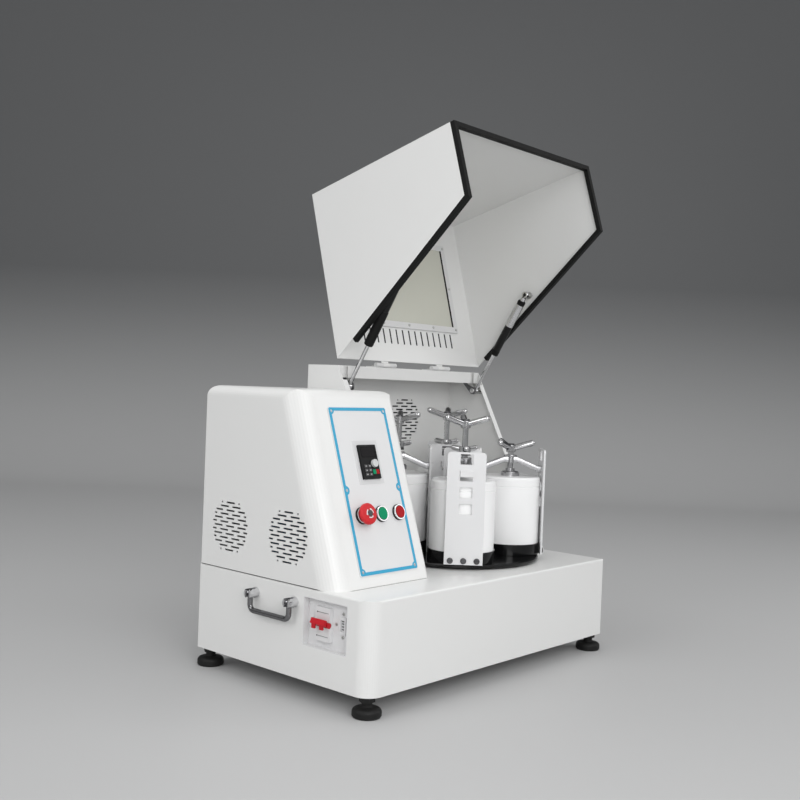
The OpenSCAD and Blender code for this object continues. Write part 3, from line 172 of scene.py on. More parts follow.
def finish(name, kind, colour, bump=0.1, settings=None, **values):
    # values go to the group's own inputs, settings straight to the shader's
    material = bpy.data.materials.new(name)
    material.use_nodes = True
    tree = material.node_tree
    shader = tree.nodes["Principled BSDF"]
    look = addNode(tree, "ShaderNodeGroup", {"Colour": (*colour, 1), **values}, node_tree=groups[kind])
    wire(tree, (look, "Colour", shader, "Base Color"), (look, "Roughness", shader, "Roughness"))
    if bump:
        relief = addNode(tree, "ShaderNodeBump", {"Strength": bump, "Distance": reliefDepth})
        wire(tree, (look, "Height", relief, "Height"), (relief, "Normal", shader, "Normal"))
    for key, value in (settings or {}).items():
        shader.inputs[key].default_value = value
    return material


mats = dict(
    cabinet=finish("cabinetWhite", "paint", (0.80, 0.80, 0.79), bump=0.05, settings={"Coat Weight": 0.15}),
    panel=finish("panelWhite", "paint", (0.74, 0.74, 0.745), bump=0.04, Gloss=0.34,
                 settings={"Specular IOR Level": 0.35}),
    sheet=finish("sheetGrey", "paint", (0.72, 0.72, 0.72), bump=0.06, Gloss=0.34),
    clamp=finish("clampGrey", "paint", (0.77, 0.77, 0.775), bump=0.08, Gloss=0.26, Tone=0.04),
    surround=finish("surroundGrey", "paint", (0.67, 0.67, 0.675), bump=0.04, Gloss=0.36,
                    settings={"Specular IOR Level": 0.3}),
    line=finish("lineBlue", "paint", (0.035, 0.36, 0.58), bump=0.03, Gloss=0.32, Tone=0.0,
                settings={"Specular IOR Level": 0.3}),
    black=finish("blackPaint", "paint", (0.004, 0.004, 0.0045), bump=0.04, Gloss=0.12,
                 Tone=0.005, settings={"Coat Weight": 0.1, "Specular IOR Level": 0.25}),
    strut=finish("strutBlack", "paint", (0.004, 0.004, 0.004), bump=0.05, Gloss=0.30, Tone=0.003,
                 settings={"Specular IOR Level": 0.3}),
    motor=finish("motorBlue", "paint", (0.05, 0.11, 0.20), bump=0.2),
    jar=finish("jarWhite", "moulded", (0.96, 0.96, 0.96), bump=0.04, Grain=700.0, Gloss=0.28, Dust=0.005),
    rubber=finish("footRubber", "moulded", (0.005, 0.005, 0.005), bump=0.3, Gloss=0.45, Dust=0.02,
                  settings={"Specular IOR Level": 0.3}),
    # black rubber; also the colour of the painted shade strips at the window's edges, in the hood's slots and
    # under the console
    seal=finish("sealRubberAndPaintedShade", "moulded", (0.003, 0.003, 0.003), bump=0.3, Gloss=0.5, Dust=0.005,
                settings={"Specular IOR Level": 0.25}),
    keypad=finish("keypadBlack", "moulded", (0.004, 0.004, 0.0045), bump=0.15, Gloss=0.40, Dust=0.005,
                  settings={"Specular IOR Level": 0.25}),
    knob=finish("knobGrey", "moulded", (0.62, 0.62, 0.62), bump=0.1, Gloss=0.35, Dust=0.02),
    breaker=finish("breakerGrey", "moulded", (0.74, 0.74, 0.745), bump=0.1, Gloss=0.35, Dust=0.02),
    red=finish("toggleRed", "moulded", (0.52, 0.010, 0.020), bump=0.06, Gloss=0.30, Dust=0.0,
               settings={"Specular IOR Level": 0.3}),
    stop=finish("stopRed", "moulded", (0.60, 0.020, 0.026), bump=0.08, Gloss=0.36, Dust=0.0,
                settings={"Specular IOR Level": 0.3}),
    green=finish("capGreen", "moulded", (0.0, 0.27, 0.12), bump=0.05, Gloss=0.34, Dust=0.0,
                 settings={"Specular IOR Level": 0.15}),
    cap=finish("capRed", "moulded", (0.40, 0.006, 0.010), bump=0.05, Gloss=0.34, Dust=0.0,
               settings={"Specular IOR Level": 0.15}),
    chrome=finish("polishedChrome", "metal", (0.86, 0.86, 0.87), bump=0.02, Gloss=0.06, Streak=0.10,
                  settings={"Metallic": 1.0, "Specular Tint": (0.20, 0.20, 0.21, 1)}),
    plated=finish("platedSteel", "metal", (0.72, 0.72, 0.73), bump=0.04, Gloss=0.15, Streak=0.2,
                  settings={"Metallic": 1.0, "Specular Tint": (0.25, 0.25, 0.26, 1)}),
    grip=finish("gripSteel", "metal", (0.20, 0.20, 0.205), bump=0.05, Gloss=0.12, Streak=0.2,
                settings={"Metallic": 1.0, "Specular Tint": (0.45, 0.45, 0.46, 1)}),
    # dark bracket steel; also the colour of the painted groove shade on the breaker
    strutPlate=finish("bracketSteelAndGrooveShade", "metal", (0.16, 0.16, 0.165), bump=0.06, Gloss=0.25, Streak=0.2,
                      settings={"Metallic": 1.0}),
    label=finish("labelFilm", "metal", (0.70, 0.70, 0.71), bump=0.02, Gloss=0.24, Streak=0.1,
                 settings={"Metallic": 0.8, "Specular Tint": (0.3, 0.3, 0.3, 1)}),
    steel=finish("turnedSteel", "metal", (0.58, 0.58, 0.59), Gloss=0.22, Streak=0.3,
                 settings={"Metallic": 1.0}),
    zinc=finish("zincPlate", "metal", (0.62, 0.62, 0.60), bump=0.08, Gloss=0.3, Streak=0.3,
                Stretch=(160.0, 160.0, 160.0), settings={"Metallic": 1.0}),
    # dark key grey; also the colour of the painted shade in the outlet's slots
    key=finish("keyGreyAndSlotShade", "moulded", (0.05, 0.05, 0.052), Gloss=0.4, Dust=0.05),
    glass=finish("displayGlass", "moulded", (0.003, 0.002, 0.003), bump=0.0, Gloss=0.12, Dust=0.0,
                 settings={"Specular IOR Level": 0.08}),
    oxide=finish("blackOxide", "metal", (0.035, 0.035, 0.037), bump=0.08, Gloss=0.28, Streak=0.2,
                 settings={"Metallic": 0.8}),
    # polycarbonate behind its matt film: mostly a milky skin with a little light through it; its pale colour
    # is partly the film's own and partly painted light, the glow of light from behind
    window=finish("windowSheet", "moulded", (0.74, 0.74, 0.65), bump=0.0, Grain=300.0, Gloss=0.22, Dust=0.03,
                  settings={"Alpha": 0.75, "Coat Weight": 0.4}),
)

# Finish of each CAD part, by its name or, for a repeated part, by the name before its place
nodeLook = dict(
    base_shell="cabinet", base_floor="sheet", levelling_feet="rubber", handle_posts="chrome",
    bail_left="grip", bail_right="grip", breaker_tray="breaker", breaker_toggle="red",
    console_shell="cabinet", front_panel="panel", panel_border="line", drive_keypad="keypad",
    keypad_knob="knob", button_bodies="oxide", estop_head="stop", green_button="green",
    red_button="cap", chamber_rear="cabinet", chamber_sides="cabinet", chamber_rail="cabinet",
    hinge_leaves="sheet", strut_brackets="zinc", motor="motor", motor_pulley="steel",
    drive_belt="rubber", bearing_bridge="steel", turntable="black", main_shaft="steel",
    hood_top="cabinet", hood_skirt="cabinet", hood_seal="seal", window_pane="window",
    window_frame="sheet", strut_tube="strut", strut_rod="chrome", holder="black", jar="jar",
    clamp="clamp", pad="steel", screw="chrome", nut="chrome",
)


def dressNodes():
    for name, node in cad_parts.items():
        look = nodeLook.get(name) or nodeLook[name.rsplit("_", 1)[0]]
        node.data.materials.clear()
        node.data.materials.append(mats[look])


dressNodes()
print("nodes dressed")

# Mesh helpers: every shape is worked out as arrays
meshing = dict(merge=2e-6, degenerate=1e-7, sharpAngle=35, bevelSteps=3)


def piece(name, points, faces, look, body, smooth=True, ends=()):
    # points in any array that ends in x, y, z; faces as an array of quads; ends as lists of point numbers
    mesh = bpy.data.meshes.new(name)
    mesh.from_pydata(np.asarray(points, float).reshape(-1, 3), [], np.asarray(faces).tolist() + list(ends))
    solid = bmesh.new()
    solid.from_mesh(mesh)
    bmesh.ops.remove_doubles(solid, verts=solid.verts, dist=meshing["merge"])
    bmesh.ops.dissolve_degenerate(solid, edges=solid.edges, dist=meshing["degenerate"])
    bmesh.ops.recalc_face_normals(solid, faces=solid.faces)
    solid.to_mesh(mesh)
    solid.free()
    if smooth:
        mesh.shade_smooth()
        mesh.set_sharp_from_angle(angle=math.radians(meshing["sharpAngle"]))
    mesh.materials.append(mats[look])
    thing = addObject(name, mesh)
    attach(thing, body)
    return thing


def gridFaces(copies, rows, columns, closeColumns=True, closeRows=False):
    # quads between neighbours of a rows x columns grid, repeated for each copy
    r = np.arange(rows if closeRows else rows - 1)
    c = np.arange(columns if closeColumns else columns - 1)
    rr, cc = np.meshgrid(r, c, indexing="ij")
    r1, c1 = (rr + 1) % rows, (cc + 1) % columns
    quads = np.stack([rr * columns + cc, rr * columns + c1, r1 * columns + c1, r1 * columns + cc], -1)
    shift = (np.arange(copies) * rows * columns)[:, None, None]
    return (quads.reshape(1, -1, 4) + shift).reshape(-1, 4)


def sideVectors(axes, upright=0.9):
    # two unit vectors square to each axis, from Z or, where the axis is upright, from X; and the unit axis
    axes = np.asarray(axes, float)
    axes = axes / np.linalg.norm(axes, axis=-1, keepdims=True)
    helper = np.where(np.abs(axes[..., 2:3]) < upright, [0.0, 0.0, 1.0], [1.0, 0.0, 0.0])
    first = np.cross(helper, axes)
    first /= np.linalg.norm(first, axis=-1, keepdims=True)
    return first, np.cross(axes, first), axes


def lathe(name, profile, places, axes, look, body, around=32):
    # p(s, t) = place + height(s) axis + radius(s) (cos t side1 + sin t side2)
    profile = np.asarray(profile, float)
    places = np.atleast_2d(np.asarray(places, float))
    axes = np.broadcast_to(np.asarray(axes, float), places.shape)
    one, two, along = sideVectors(axes)
    t = np.arange(around) * 2 * np.pi / around
    ring = np.cos(t)[None, :, None] * one[:, None, :] + np.sin(t)[None, :, None] * two[:, None, :]
    points = (places[:, None, None, :] + profile[None, :, 1, None, None] * along[:, None, None, :]
              + profile[None, :, 0, None, None] * ring[:, None, :, :])
    return piece(name, points, gridFaces(len(places), len(profile), around), look, body)


def sweep(name, centres, outline, one, two, look, body):
    # p(s, t) = centre(s) + a(t) side1 + b(t) side2, with flat ends
    centres, outline = np.asarray(centres, float), np.asarray(outline, float)
    points = (centres[:, None, :] + outline[None, :, 0, None] * np.asarray(one)
              + outline[None, :, 1, None] * np.asarray(two))
    first = np.arange(len(outline))
    last = first + (len(centres) - 1) * len(outline)
    return piece(name, points, gridFaces(1, len(centres), len(outline)), look, body,
                 ends=[first[::-1].tolist(), last.tolist()])


def boxes(name, corners, axes, look, body, soften=0.0):
    # p = place + i side1 size1 + j side2 size2 + k out size3, for the eight corners i, j, k of each box
    ijk = np.array([[i, j, k] for k in (0, 1) for j in (0, 1) for i in (0, 1)], float)
    points = np.stack([place + (ijk * size) @ np.asarray(axes, float) for place, size in corners])
    sides = np.array([[0, 2, 3, 1], [4, 5, 7, 6], [0, 1, 5, 4], [2, 6, 7, 3], [0, 4, 6, 2], [1, 3, 7, 5]])
    faces = (sides[None] + 8 * np.arange(len(corners))[:, None, None]).reshape(-1, 4)
    thing = piece(name, points, faces, look, body, smooth=soften > 0)
    if soften:
        edge = thing.modifiers.new("edges", "BEVEL")
        edge.width = soften
        edge.segments = meshing["bevelSteps"]
        edge.limit_method = "ANGLE"
        edge.harden_normals = True
    return thing


# Outlines for the lathe and the sweep: (radius, height) or (a, b) points, closed where they end as they start
def closed(outline):
    return [*outline, outline[0]]


def ringOutline(inner, outer, low, high, cut=None, lowCut=None):
    # section of a turned ring; a cut takes (radius, height) off its upper or lower outer corner
    lower = [(outer - lowCut[0], low), (outer, low + lowCut[1])] if lowCut else [(outer, low)]
    upper = [(outer, high - cut[1]), (outer - cut[0], high)] if cut else [(outer, high)]
    return closed([(inner, low), *lower, *upper, (inner, high)])


def rounded(radius, height, edge, base=0.0, steps=5):
    # disc with a quarter round on its upper edge, from its underside's middle to its top's middle
    a = np.linspace(0, np.pi / 2, steps)
    arc = np.stack([radius - edge + edge * np.cos(a), height - edge + edge * np.sin(a)], -1)
    return np.vstack([[[0, base], [radius, base]], arc, [[0, height]]])


def socketHead(radius, height, edge, socketR, deep):
    # rounded screw head with a round socket sunk into its top
    socket = [[socketR, height], [socketR, height - deep], [0, height - deep]]
    return np.vstack([rounded(radius, height, edge)[:-1], socket])


def roundedBar(halfA, halfB, edge, steps=5):
    # rectangle with a quarter round at each corner
    a = np.linspace(0, np.pi / 2, steps)
    corner = np.stack([halfA - edge + edge * np.cos(a), halfB - edge + edge * np.sin(a)], -1)
    flip = np.array([[1, 1], [-1, 1], [-1, -1], [1, -1]])
    return np.vstack([(corner if k % 2 == 0 else corner[::-1]) * flip[k] for k in range(4)])


# Console front: a sloping plane with X across, S up the slope and N outward
slope = dict(tilt=math.radians(18.8), footY=-0.1476, footZ=0.201)
slopeUp = np.array([0, math.sin(slope["tilt"]), math.cos(slope["tilt"])])
slopeOut = np.array([0, -math.cos(slope["tilt"]), math.sin(slope["tilt"])])
frontAxes = np.array([[1.0, 0, 0], slopeUp, slopeOut])
panel = dict(midX=-0.2275, midS=0.181, width=0.158, height=0.320, lineTop=0.0021)
buttons = dict(s=0.132, x=(-0.2725, -0.2215, -0.1735))


def onFront(x, s, n):
    x, s, n = np.broadcast_arrays(x, s, n)
    foot = np.array([0, slope["footY"], slope["footZ"]])
    return foot + x[..., None] * frontAxes[0] + s[..., None] * slopeUp + n[..., None] * slopeOut


def panelScrews():
    # pan heads at the corners and half way up, set a little into the border
    d = dict(head=(0.0022, 0.0010, 0.0007), inset=0.0085, sink=0.0006)
    x = np.array([-1, -1, -1, 1, 1, 1]) * (panel["width"] / 2 - d["inset"])
    s = np.array([-1, 0, 1, -1, 0, 1]) * (panel["height"] / 2 - d["inset"])
    places = onFront(panel["midX"] + x, panel["midS"] + s, panel["lineTop"] - d["sink"])
    lathe("panelScrews", rounded(*d["head"]), places, slopeOut, "steel", "base", around=20)


def panelEdge():
    # coloured edge round the panel: a ring of four-cornered section along a rectangle with round corners
    d = dict(inner=-0.0037, outer=-0.0018, low=0.0012, high=0.00195, cornerR=0.0055, steps=7)
    a = np.linspace(0, np.pi / 2, d["steps"])
    turns = np.concatenate([a + k * np.pi / 2 for k in range(4)])
    outward = np.stack([np.cos(turns), np.sin(turns)], -1)
    reach = np.array([panel["width"], panel["height"]]) / 2 - d["cornerR"]
    middle = np.repeat([[1, 1], [-1, 1], [-1, -1], [1, -1]], d["steps"], axis=0) * reach
    grow = np.array([d["inner"], d["outer"], d["outer"], d["inner"]])
    level = np.array([d["low"], d["low"], d["high"], d["high"]])
    flat = middle[:, None] + (d["cornerR"] + grow)[:, None] * outward[:, None]
    points = onFront(panel["midX"] + flat[..., 0], panel["midS"] + flat[..., 1], level)
    piece("panelEdge", points, gridFaces(1, len(turns), len(grow), closeRows=True), "line", "base")


def buttonRims():
    # black collar, bright rim and the dark gap inside it on both push buttons, and the stop's two rings
    d = dict(foot=0.0015, seat=0.0056, bore=0.0118, collarR=0.0152, collarCut=(0.0006, 0.0004),
             rim=((0.0123, 0.0056), (0.0148, 0.0056), (0.0148, 0.0068), (0.0140, 0.0077), (0.0128, 0.0077),
                  (0.0123, 0.0070)),
             gapR=(0.0117, 0.0124), gapTop=0.0066, stopBore=0.0075, stopR=0.0160, stopTop=0.0066,
             stopCut=(0.0010, 0.0006),
             stopRim=((0.0078, 0.0066), (0.0156, 0.0066), (0.0156, 0.0083), (0.0150, 0.0087),
                      (0.0120, 0.0076), (0.0078, 0.0075)))
    pair = onFront(np.array(buttons["x"][1:]), buttons["s"], 0.0)
    stop = onFront(buttons["x"][0], buttons["s"], 0.0)
    collar = ringOutline(d["bore"], d["collarR"], d["foot"], d["seat"], d["collarCut"])
    gap = ringOutline(*d["gapR"], d["seat"], d["gapTop"])
    stopCollar = ringOutline(d["stopBore"], d["stopR"], d["foot"], d["stopTop"], d["stopCut"])
    for name, outline, places, look in (("buttonCollars", collar, pair, "keypad"),
                                        ("buttonRims", closed(d["rim"]), pair, "chrome"),
                                        ("buttonGaps", gap, pair, "keypad"),
                                        ("stopCollar", stopCollar, stop, "keypad"),
                                        ("stopRim", closed(d["stopRim"]), stop, "chrome")):
        lathe(name, outline, places, slopeOut, look, "base", around=40)


def keypadFace():
    # display window, six keys with their marks, a green and a red key, each as a corner, a size and the
    # softening of its edges; and a frame round the keypad
    d = dict(x=-0.2277, s=0.232, pitch=(0.010, 0.008),
             display=((-0.0185, 0.0090, 0.0058), (0.037, 0.0195, 0.0006), 0.0003),
             key=((-0.0175, -0.0275, 0.0060), (0.0080, 0.0060, 0.0020), 0.0006),
             mark=((-0.0150, -0.0252, 0.0079), (0.0030, 0.0012, 0.0002), 0.0),
             run=((0.0032, -0.0245, 0.0060), (0.0078, 0.0090, 0.0022), 0.0007),
             halt=((0.0117, -0.0245, 0.0060), (0.0078, 0.0090, 0.0022), 0.0007),
             frameOut=(0.033, 0.042), frameIn=(0.0236, 0.0332), frameLow=0.0014, frameThick=0.0007)

    def onKeypad(corner, size, column=0, row=0):
        x = d["x"] + corner[0] + column * d["pitch"][0]
        s = d["s"] + corner[1] + row * d["pitch"][1]
        return onFront(x, s, corner[2]), size

    cells = [(column, row) for column in (0, 1) for row in (0, 1, 2)]
    for name, (corner, size, soften), places, look in (("keypadDisplay", d["display"], cells[:1], "glass"),
                                                       ("keypadKeys", d["key"], cells, "key"),
                                                       ("keypadMarks", d["mark"], cells, "knob"),
                                                       ("keypadRun", d["run"], cells[:1], "green"),
                                                       ("keypadHalt", d["halt"], cells[:1], "cap")):
        boxes(name, [onKeypad(corner, size, *cell) for cell in places], frontAxes, look, "base", soften)
    (wide, tall), (inX, inS) = d["frameOut"], d["frameIn"]
    bars = (((-wide, -tall), (2 * wide, tall - inS)), ((-wide, inS), (2 * wide, tall - inS)),
            ((-wide, -inS), (wide - inX, 2 * inS)), ((inX, -inS), (wide - inX, 2 * inS)))
    rim = [onKeypad((*corner, d["frameLow"]), (*size, d["frameThick"])) for corner, size in bars]
    boxes("keypadFrame", rim, frontAxes, "surround", "base")


def stopEmblem():
    # three arrows in a ring round a dark disc, lying on the mushroom's flat cone: height = peak - fall r
    d = dict(peak=0.02495, fall=0.1256, lift=0.0003, sink=0.001, disc=0.0062, inner=0.0070, outer=0.0090,
             barb=0.0010, tip=0.0080, span=86, steps=14, headSteps=4, arrows=3)
    middle = onFront(buttons["x"][0], buttons["s"], 0.0)
    u = np.radians(np.linspace(0, d["span"], d["steps"]))
    r = np.tile([[d["inner"]], [d["outer"]]], (1, d["steps"]))
    r[:, -d["headSteps"]:] = np.linspace([d["inner"] - d["barb"], d["outer"] + d["barb"]], [d["tip"]] * 2,
                                         d["headSteps"], axis=-1)
    rise = (d["peak"] - d["fall"] * r)[..., None] * slopeOut
    rings = []
    for k in range(d["arrows"]):
        a = u + k * 2 * np.pi / d["arrows"]
        outward = np.cos(a)[:, None] * frontAxes[0] + np.sin(a)[:, None] * slopeUp
        flat = middle + rise + r[..., None] * outward
        rings.append(np.concatenate([flat, (flat + d["lift"] * slopeOut)[::-1]]))
    faces = gridFaces(d["arrows"], len(rings[0]), d["steps"], closeColumns=False, closeRows=True)
    piece("stopArrows", np.stack(rings), faces, "panel", "estop", smooth=False)
    low = d["peak"] - d["fall"] * d["disc"]
    disc = [[0, d["peak"] - d["sink"]], [d["disc"], low - d["sink"]], [d["disc"], low + d["lift"]],
            [0, d["peak"] + d["lift"]]]
    lathe("stopDisc", disc, middle, slopeOut, "key", "estop", around=40)


panelScrews()
panelEdge()
buttonRims()
keypadFace()
stopEmblem()
print("panel pieces made")

# Jar stations: four places on the turntable, with each clamp turned a little from the radius
stations = dict(centre=(0.130, 0.004), orbit=0.125, first=228.2, step=90, turn=-5.5,
                names=("front", "right", "rear", "left"))
up = np.array([0, 0, 1.0])


def stationFrame(k):
    # the station's middle at floor height, and its clamp's outward and sideways directions
    around = math.radians(stations["first"] + stations["step"] * k)
    facing = around + math.radians(stations["turn"])
    middle = np.array([stations["centre"][0] + stations["orbit"] * math.cos(around),
                       stations["centre"][1] + stations["orbit"] * math.sin(around), 0])
    out = np.array([math.cos(facing), math.sin(facing), 0])
    return middle, out, np.cross(up, out)


def clampBolts():
    # button heads, three at the foot of each plate
    d = dict(face=0.072, spread=0.027, z=0.2205, head=(0.0062, 0.0036, 0.0024), socketR=0.0032, deep=0.002)
    head = socketHead(*d["head"], d["socketR"], d["deep"])
    for k, name in enumerate(stations["names"]):
        middle, out, side = stationFrame(k)
        facing = np.array([1, 1, 1, -1, -1, -1])[:, None] * out
        along = np.tile([-1, 0, 1], 2)[:, None] * d["spread"] * side
        places = middle + d["face"] * facing + along + d["z"] * up
        lathe("clampBolts_" + name, head, places, facing, "oxide", "planet_" + name, around=18)


def clampFittings():
    # black caps on the handles, dark tops on the pads, black washers under the lock nuts
    d = dict(cap=(0.0080, 0.0012, 0.0007), capBase=-0.0018, capZ=(0.5025, 0.4485, 0.5105, 0.5025),
             padTop=((0.0103, 0.0), (0.0178, 0.0), (0.0175, 0.0007), (0.0103, 0.0007)),
             padZ=(0.396, 0.388, 0.396, 0.396), washerBore=0.0062, washerR=0.0124, washerH=0.0052,
             washerCut=(0.0007, 0.0007), washerDrop=0.0054)
    cap = rounded(*d["cap"], base=d["capBase"])
    washer = ringOutline(d["washerBore"], d["washerR"], 0.0, d["washerH"], d["washerCut"])
    for k, name in enumerate(stations["names"]):
        middle = stationFrame(k)[0]
        lathe("handleCap_" + name, cap, middle + d["capZ"][k] * up, up, "oxide", "screw_" + name, around=28)
        lathe("padTop_" + name, closed(d["padTop"]), middle + d["padZ"][k] * up, up, "oxide", "pad_" + name,
              around=36)
        if name != "right":
            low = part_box("nut_" + name)[0][2]
            lathe("nutWasher_" + name, washer, middle + (low - d["washerDrop"]) * up, up, "oxide",
                  "nut_" + name, around=32)


def starHandles():
    # full round arms with domed ends, and a chamfered hub, over each screw's handle and lock nut
    d = dict(turn=(62, 113, 115, 27), hubZ=(0.485, 0.431, 0.493, 0.485), nutTurn=60, arms=3,
             screw=dict(rise=17.0, armR=0.0063, tip=0.0547, hubR=0.0104, hubH=0.0148),
             nut=dict(rise=8.5, armR=0.0058, tip=0.0320, hubR=0.0122, hubH=0.0118),
             bore=0.0068, chamfer=0.0012, hubBase=0.0002, armStart=0.75, armRoot=0.5, rootCut=0.0005,
             domeSteps=7)

    def armOutline(r, start, tip):
        a = np.linspace(0, np.pi / 2, d["domeSteps"])
        dome = np.stack([r * np.cos(a), tip - r + r * np.sin(a)], -1)
        return np.vstack([[[r * d["armRoot"], start], [r, start + d["rootCut"]]], dome])

    def star(body, station, place, facing, form):
        angle = np.radians(facing + np.arange(d["arms"]) * 360 / d["arms"])
        rise = math.radians(form["rise"])
        axes = np.stack([np.cos(angle) * math.cos(rise), np.sin(angle) * math.cos(rise),
                         np.full(d["arms"], math.sin(rise))], -1)
        arm = armOutline(form["armR"], form["hubR"] * d["armStart"], form["tip"])
        starts = np.tile(place + form["hubH"] / 2 * up, (d["arms"], 1))
        hub = ringOutline(d["bore"], form["hubR"], d["hubBase"], form["hubH"], (d["chamfer"], d["chamfer"]),
                          (d["chamfer"], d["chamfer"] - d["hubBase"]))
        lathe(body + "_arms_" + station, arm, starts, axes, "chrome", body + "_" + station, around=24)
        lathe(body + "_hub_" + station, hub, place, up, "chrome", body + "_" + station, around=32)

    for k, name in enumerate(stations["names"]):
        middle = stationFrame(k)[0]
        facing = stations["first"] + stations["step"] * k + stations["turn"] + d["turn"][k]
        star("screw", name, middle + d["hubZ"][k] * up, facing, d["screw"])
        if name != "right":
            star("nut", name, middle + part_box("nut_" + name)[0][2] * up, facing + d["nutTurn"], d["nut"])


def yokes():
    # plated yoke bar between the two plates, stepped up to a turned boss round its screw
    d = dict(reach=0.0676, bend=0.060, step=0.014, low=0.396, rise=0.019, half=0.0133, thick=0.0066,
             edge=0.0022, bossR=0.0146, bore=0.0066, bossLow=0.4084, bossTop=0.4245, chamfer=0.0012)
    x = np.array([-d["reach"], -d["bend"], -d["step"], d["step"], d["bend"], d["reach"]])
    z = d["low"] + np.array([0, 0, d["rise"], d["rise"], 0, 0])
    bar = roundedBar(d["half"], d["thick"], d["edge"])
    boss = ringOutline(d["bore"], d["bossR"], d["bossLow"], d["bossTop"], (d["chamfer"], d["chamfer"]))
    for k, name in enumerate(stations["names"]):
        middle, out, side = stationFrame(k)
        centres = middle + x[:, None] * out + z[:, None] * up
        sweep("yokeBar_" + name, centres, bar, side, up, "steel", "planet_" + name)
        lathe("yokeBoss_" + name, boss, middle, up, "plated", "planet_" + name, around=36)


clampBolts()
clampFittings()
starHandles()
yokes()
print("station pieces made")

# Open hood: its own X, Y and Z are turned about the hinge axis
hood = dict(hingeY=0.134, hingeZ=0.6112, turn=math.radians(-105.3), middle=0.130)
hoodAxes = np.array([[1.0, 0, 0], [0, math.cos(hood["turn"]), math.sin(hood["turn"])],
                     [0, -math.sin(hood["turn"]), math.cos(hood["turn"])]])
# Gas struts: the foot's pin and the hood's pin as (y, z), and each side's x and outward direction
struts = dict(foot=(0.124, 0.5622), top=(-0.01388, 0.79058),
              sides=(("left", -0.0875, -1.0), ("right", 0.3475, 1.0)))


def inHood(x, y, z):
    x, y, z = np.broadcast_arrays(x, y, z)
    hinge = np.array([0, hood["hingeY"], hood["hingeZ"]])
    return hinge + x[..., None] * hoodAxes[0] + y[..., None] * hoodAxes[1] + z[..., None] * hoodAxes[2]


def hoodScrews():
    # pan heads round the window frame inside the hood, and through the hinge leaves outside
    d = dict(halfW=0.170, near=-0.0965, far=-0.3015, face=-0.008, row=5, head=(0.0030, 0.0016, 0.0010),
             leafX=0.094, leafY=-0.024, leafTop=0.002, leafHead=(0.0034, 0.0018, 0.0012),
             railSpread=0.022, railY=0.151, railZ=0.608)
    x = np.concatenate([np.tile(np.linspace(-1, 1, d["row"]), 2), [-1, 1]]) * d["halfW"] + hood["middle"]
    y = np.repeat([d["near"], d["far"], (d["near"] + d["far"]) / 2], [d["row"], d["row"], 2])
    lathe("windowScrews", rounded(*d["head"]), inHood(x, y, d["face"]), -hoodAxes[2], "zinc", "hood",
          around=20)
    leaves = np.array([-1, 1]) * d["leafX"] + hood["middle"]
    leafHead = rounded(*d["leafHead"])
    lathe("hoodLeafScrews", leafHead, inHood(leaves, d["leafY"], d["leafTop"]), hoodAxes[2], "zinc", "hood",
          around=20)
    x = np.repeat(leaves, 2) + np.array([-1, 1, -1, 1]) * d["railSpread"]
    places = np.stack([x, np.full(4, d["railY"]), np.full(4, d["railZ"])], -1)
    lathe("railLeafScrews", leafHead, places, up, "zinc", "base", around=20)


def paneEdgeShadows():
    # black strips up both sides of the window opening: painted shadow where the frame meets the pane
    d = dict(half=0.163, near=-0.103, far=-0.295, deep=-0.0078, top=-0.0064, thick=0.004)
    size = (d["thick"], d["near"] - d["far"], d["top"] - d["deep"])
    strips = [(inHood(hood["middle"] + x, d["far"], d["deep"]), size)
              for x in (-d["half"], d["half"] - d["thick"])]
    boxes("paneEdgeShadows", strips, hoodAxes, "seal", "hood")


def ventFilter():
    # dark filter pad under a ring on the outside of the rear vents, and the ring's four screws
    d = dict(place=(0.204, 0.2242, 0.488), padR=0.0575, padH=0.00154, ringR=0.0640, ringH=0.0022, lap=0.003,
             clear=0.0002, cut=0.0004, screwR=0.0610, head=(0.0024, 0.0014, 0.0009))
    out = np.array([0, 1.0, 0])
    pad = [[0, 0], [d["padR"], 0], [d["padR"], d["padH"]], [0, d["padH"]]]
    lathe("ventPad", pad, d["place"], out, "seal", "base", around=48)
    ring = closed([(d["padR"] - d["lap"], d["padH"]), (d["padR"] + d["clear"], 0.0), (d["ringR"], 0.0),
                   (d["ringR"], d["ringH"] - d["cut"]), (d["ringR"] - d["cut"], d["ringH"]),
                   (d["padR"] - d["lap"], d["ringH"])])
    lathe("ventRing", ring, d["place"], out, "sheet", "base", around=64)
    a = np.radians([45, 135, 225, 315])
    spread = d["screwR"] * np.stack([np.cos(a), np.zeros(4), np.sin(a)], -1)
    lathe("ventScrews", rounded(*d["head"]), d["place"] + d["ringH"] * out + spread, out, "zinc", "base",
          around=20)


def coverScrews():
    # pan heads that hold the rear sheets of the cabinet, the console and the chamber: y, columns, rows
    d = dict(head=(0.0036, 0.0018, 0.0012),
             sheets=((0.235, (-0.355, 0.355), (0.048, 0.186)),
                     (0.230, (-0.345, -0.140), (0.216, 0.375, 0.515)),
                     (0.224, (-0.098, 0.358), (0.216, 0.400, 0.590))))
    places = [(x, y, z) for y, columns, rows in d["sheets"] for x in columns for z in rows]
    lathe("coverScrews", rounded(*d["head"]), places, (0, 1, 0), "zinc", "base", around=20)


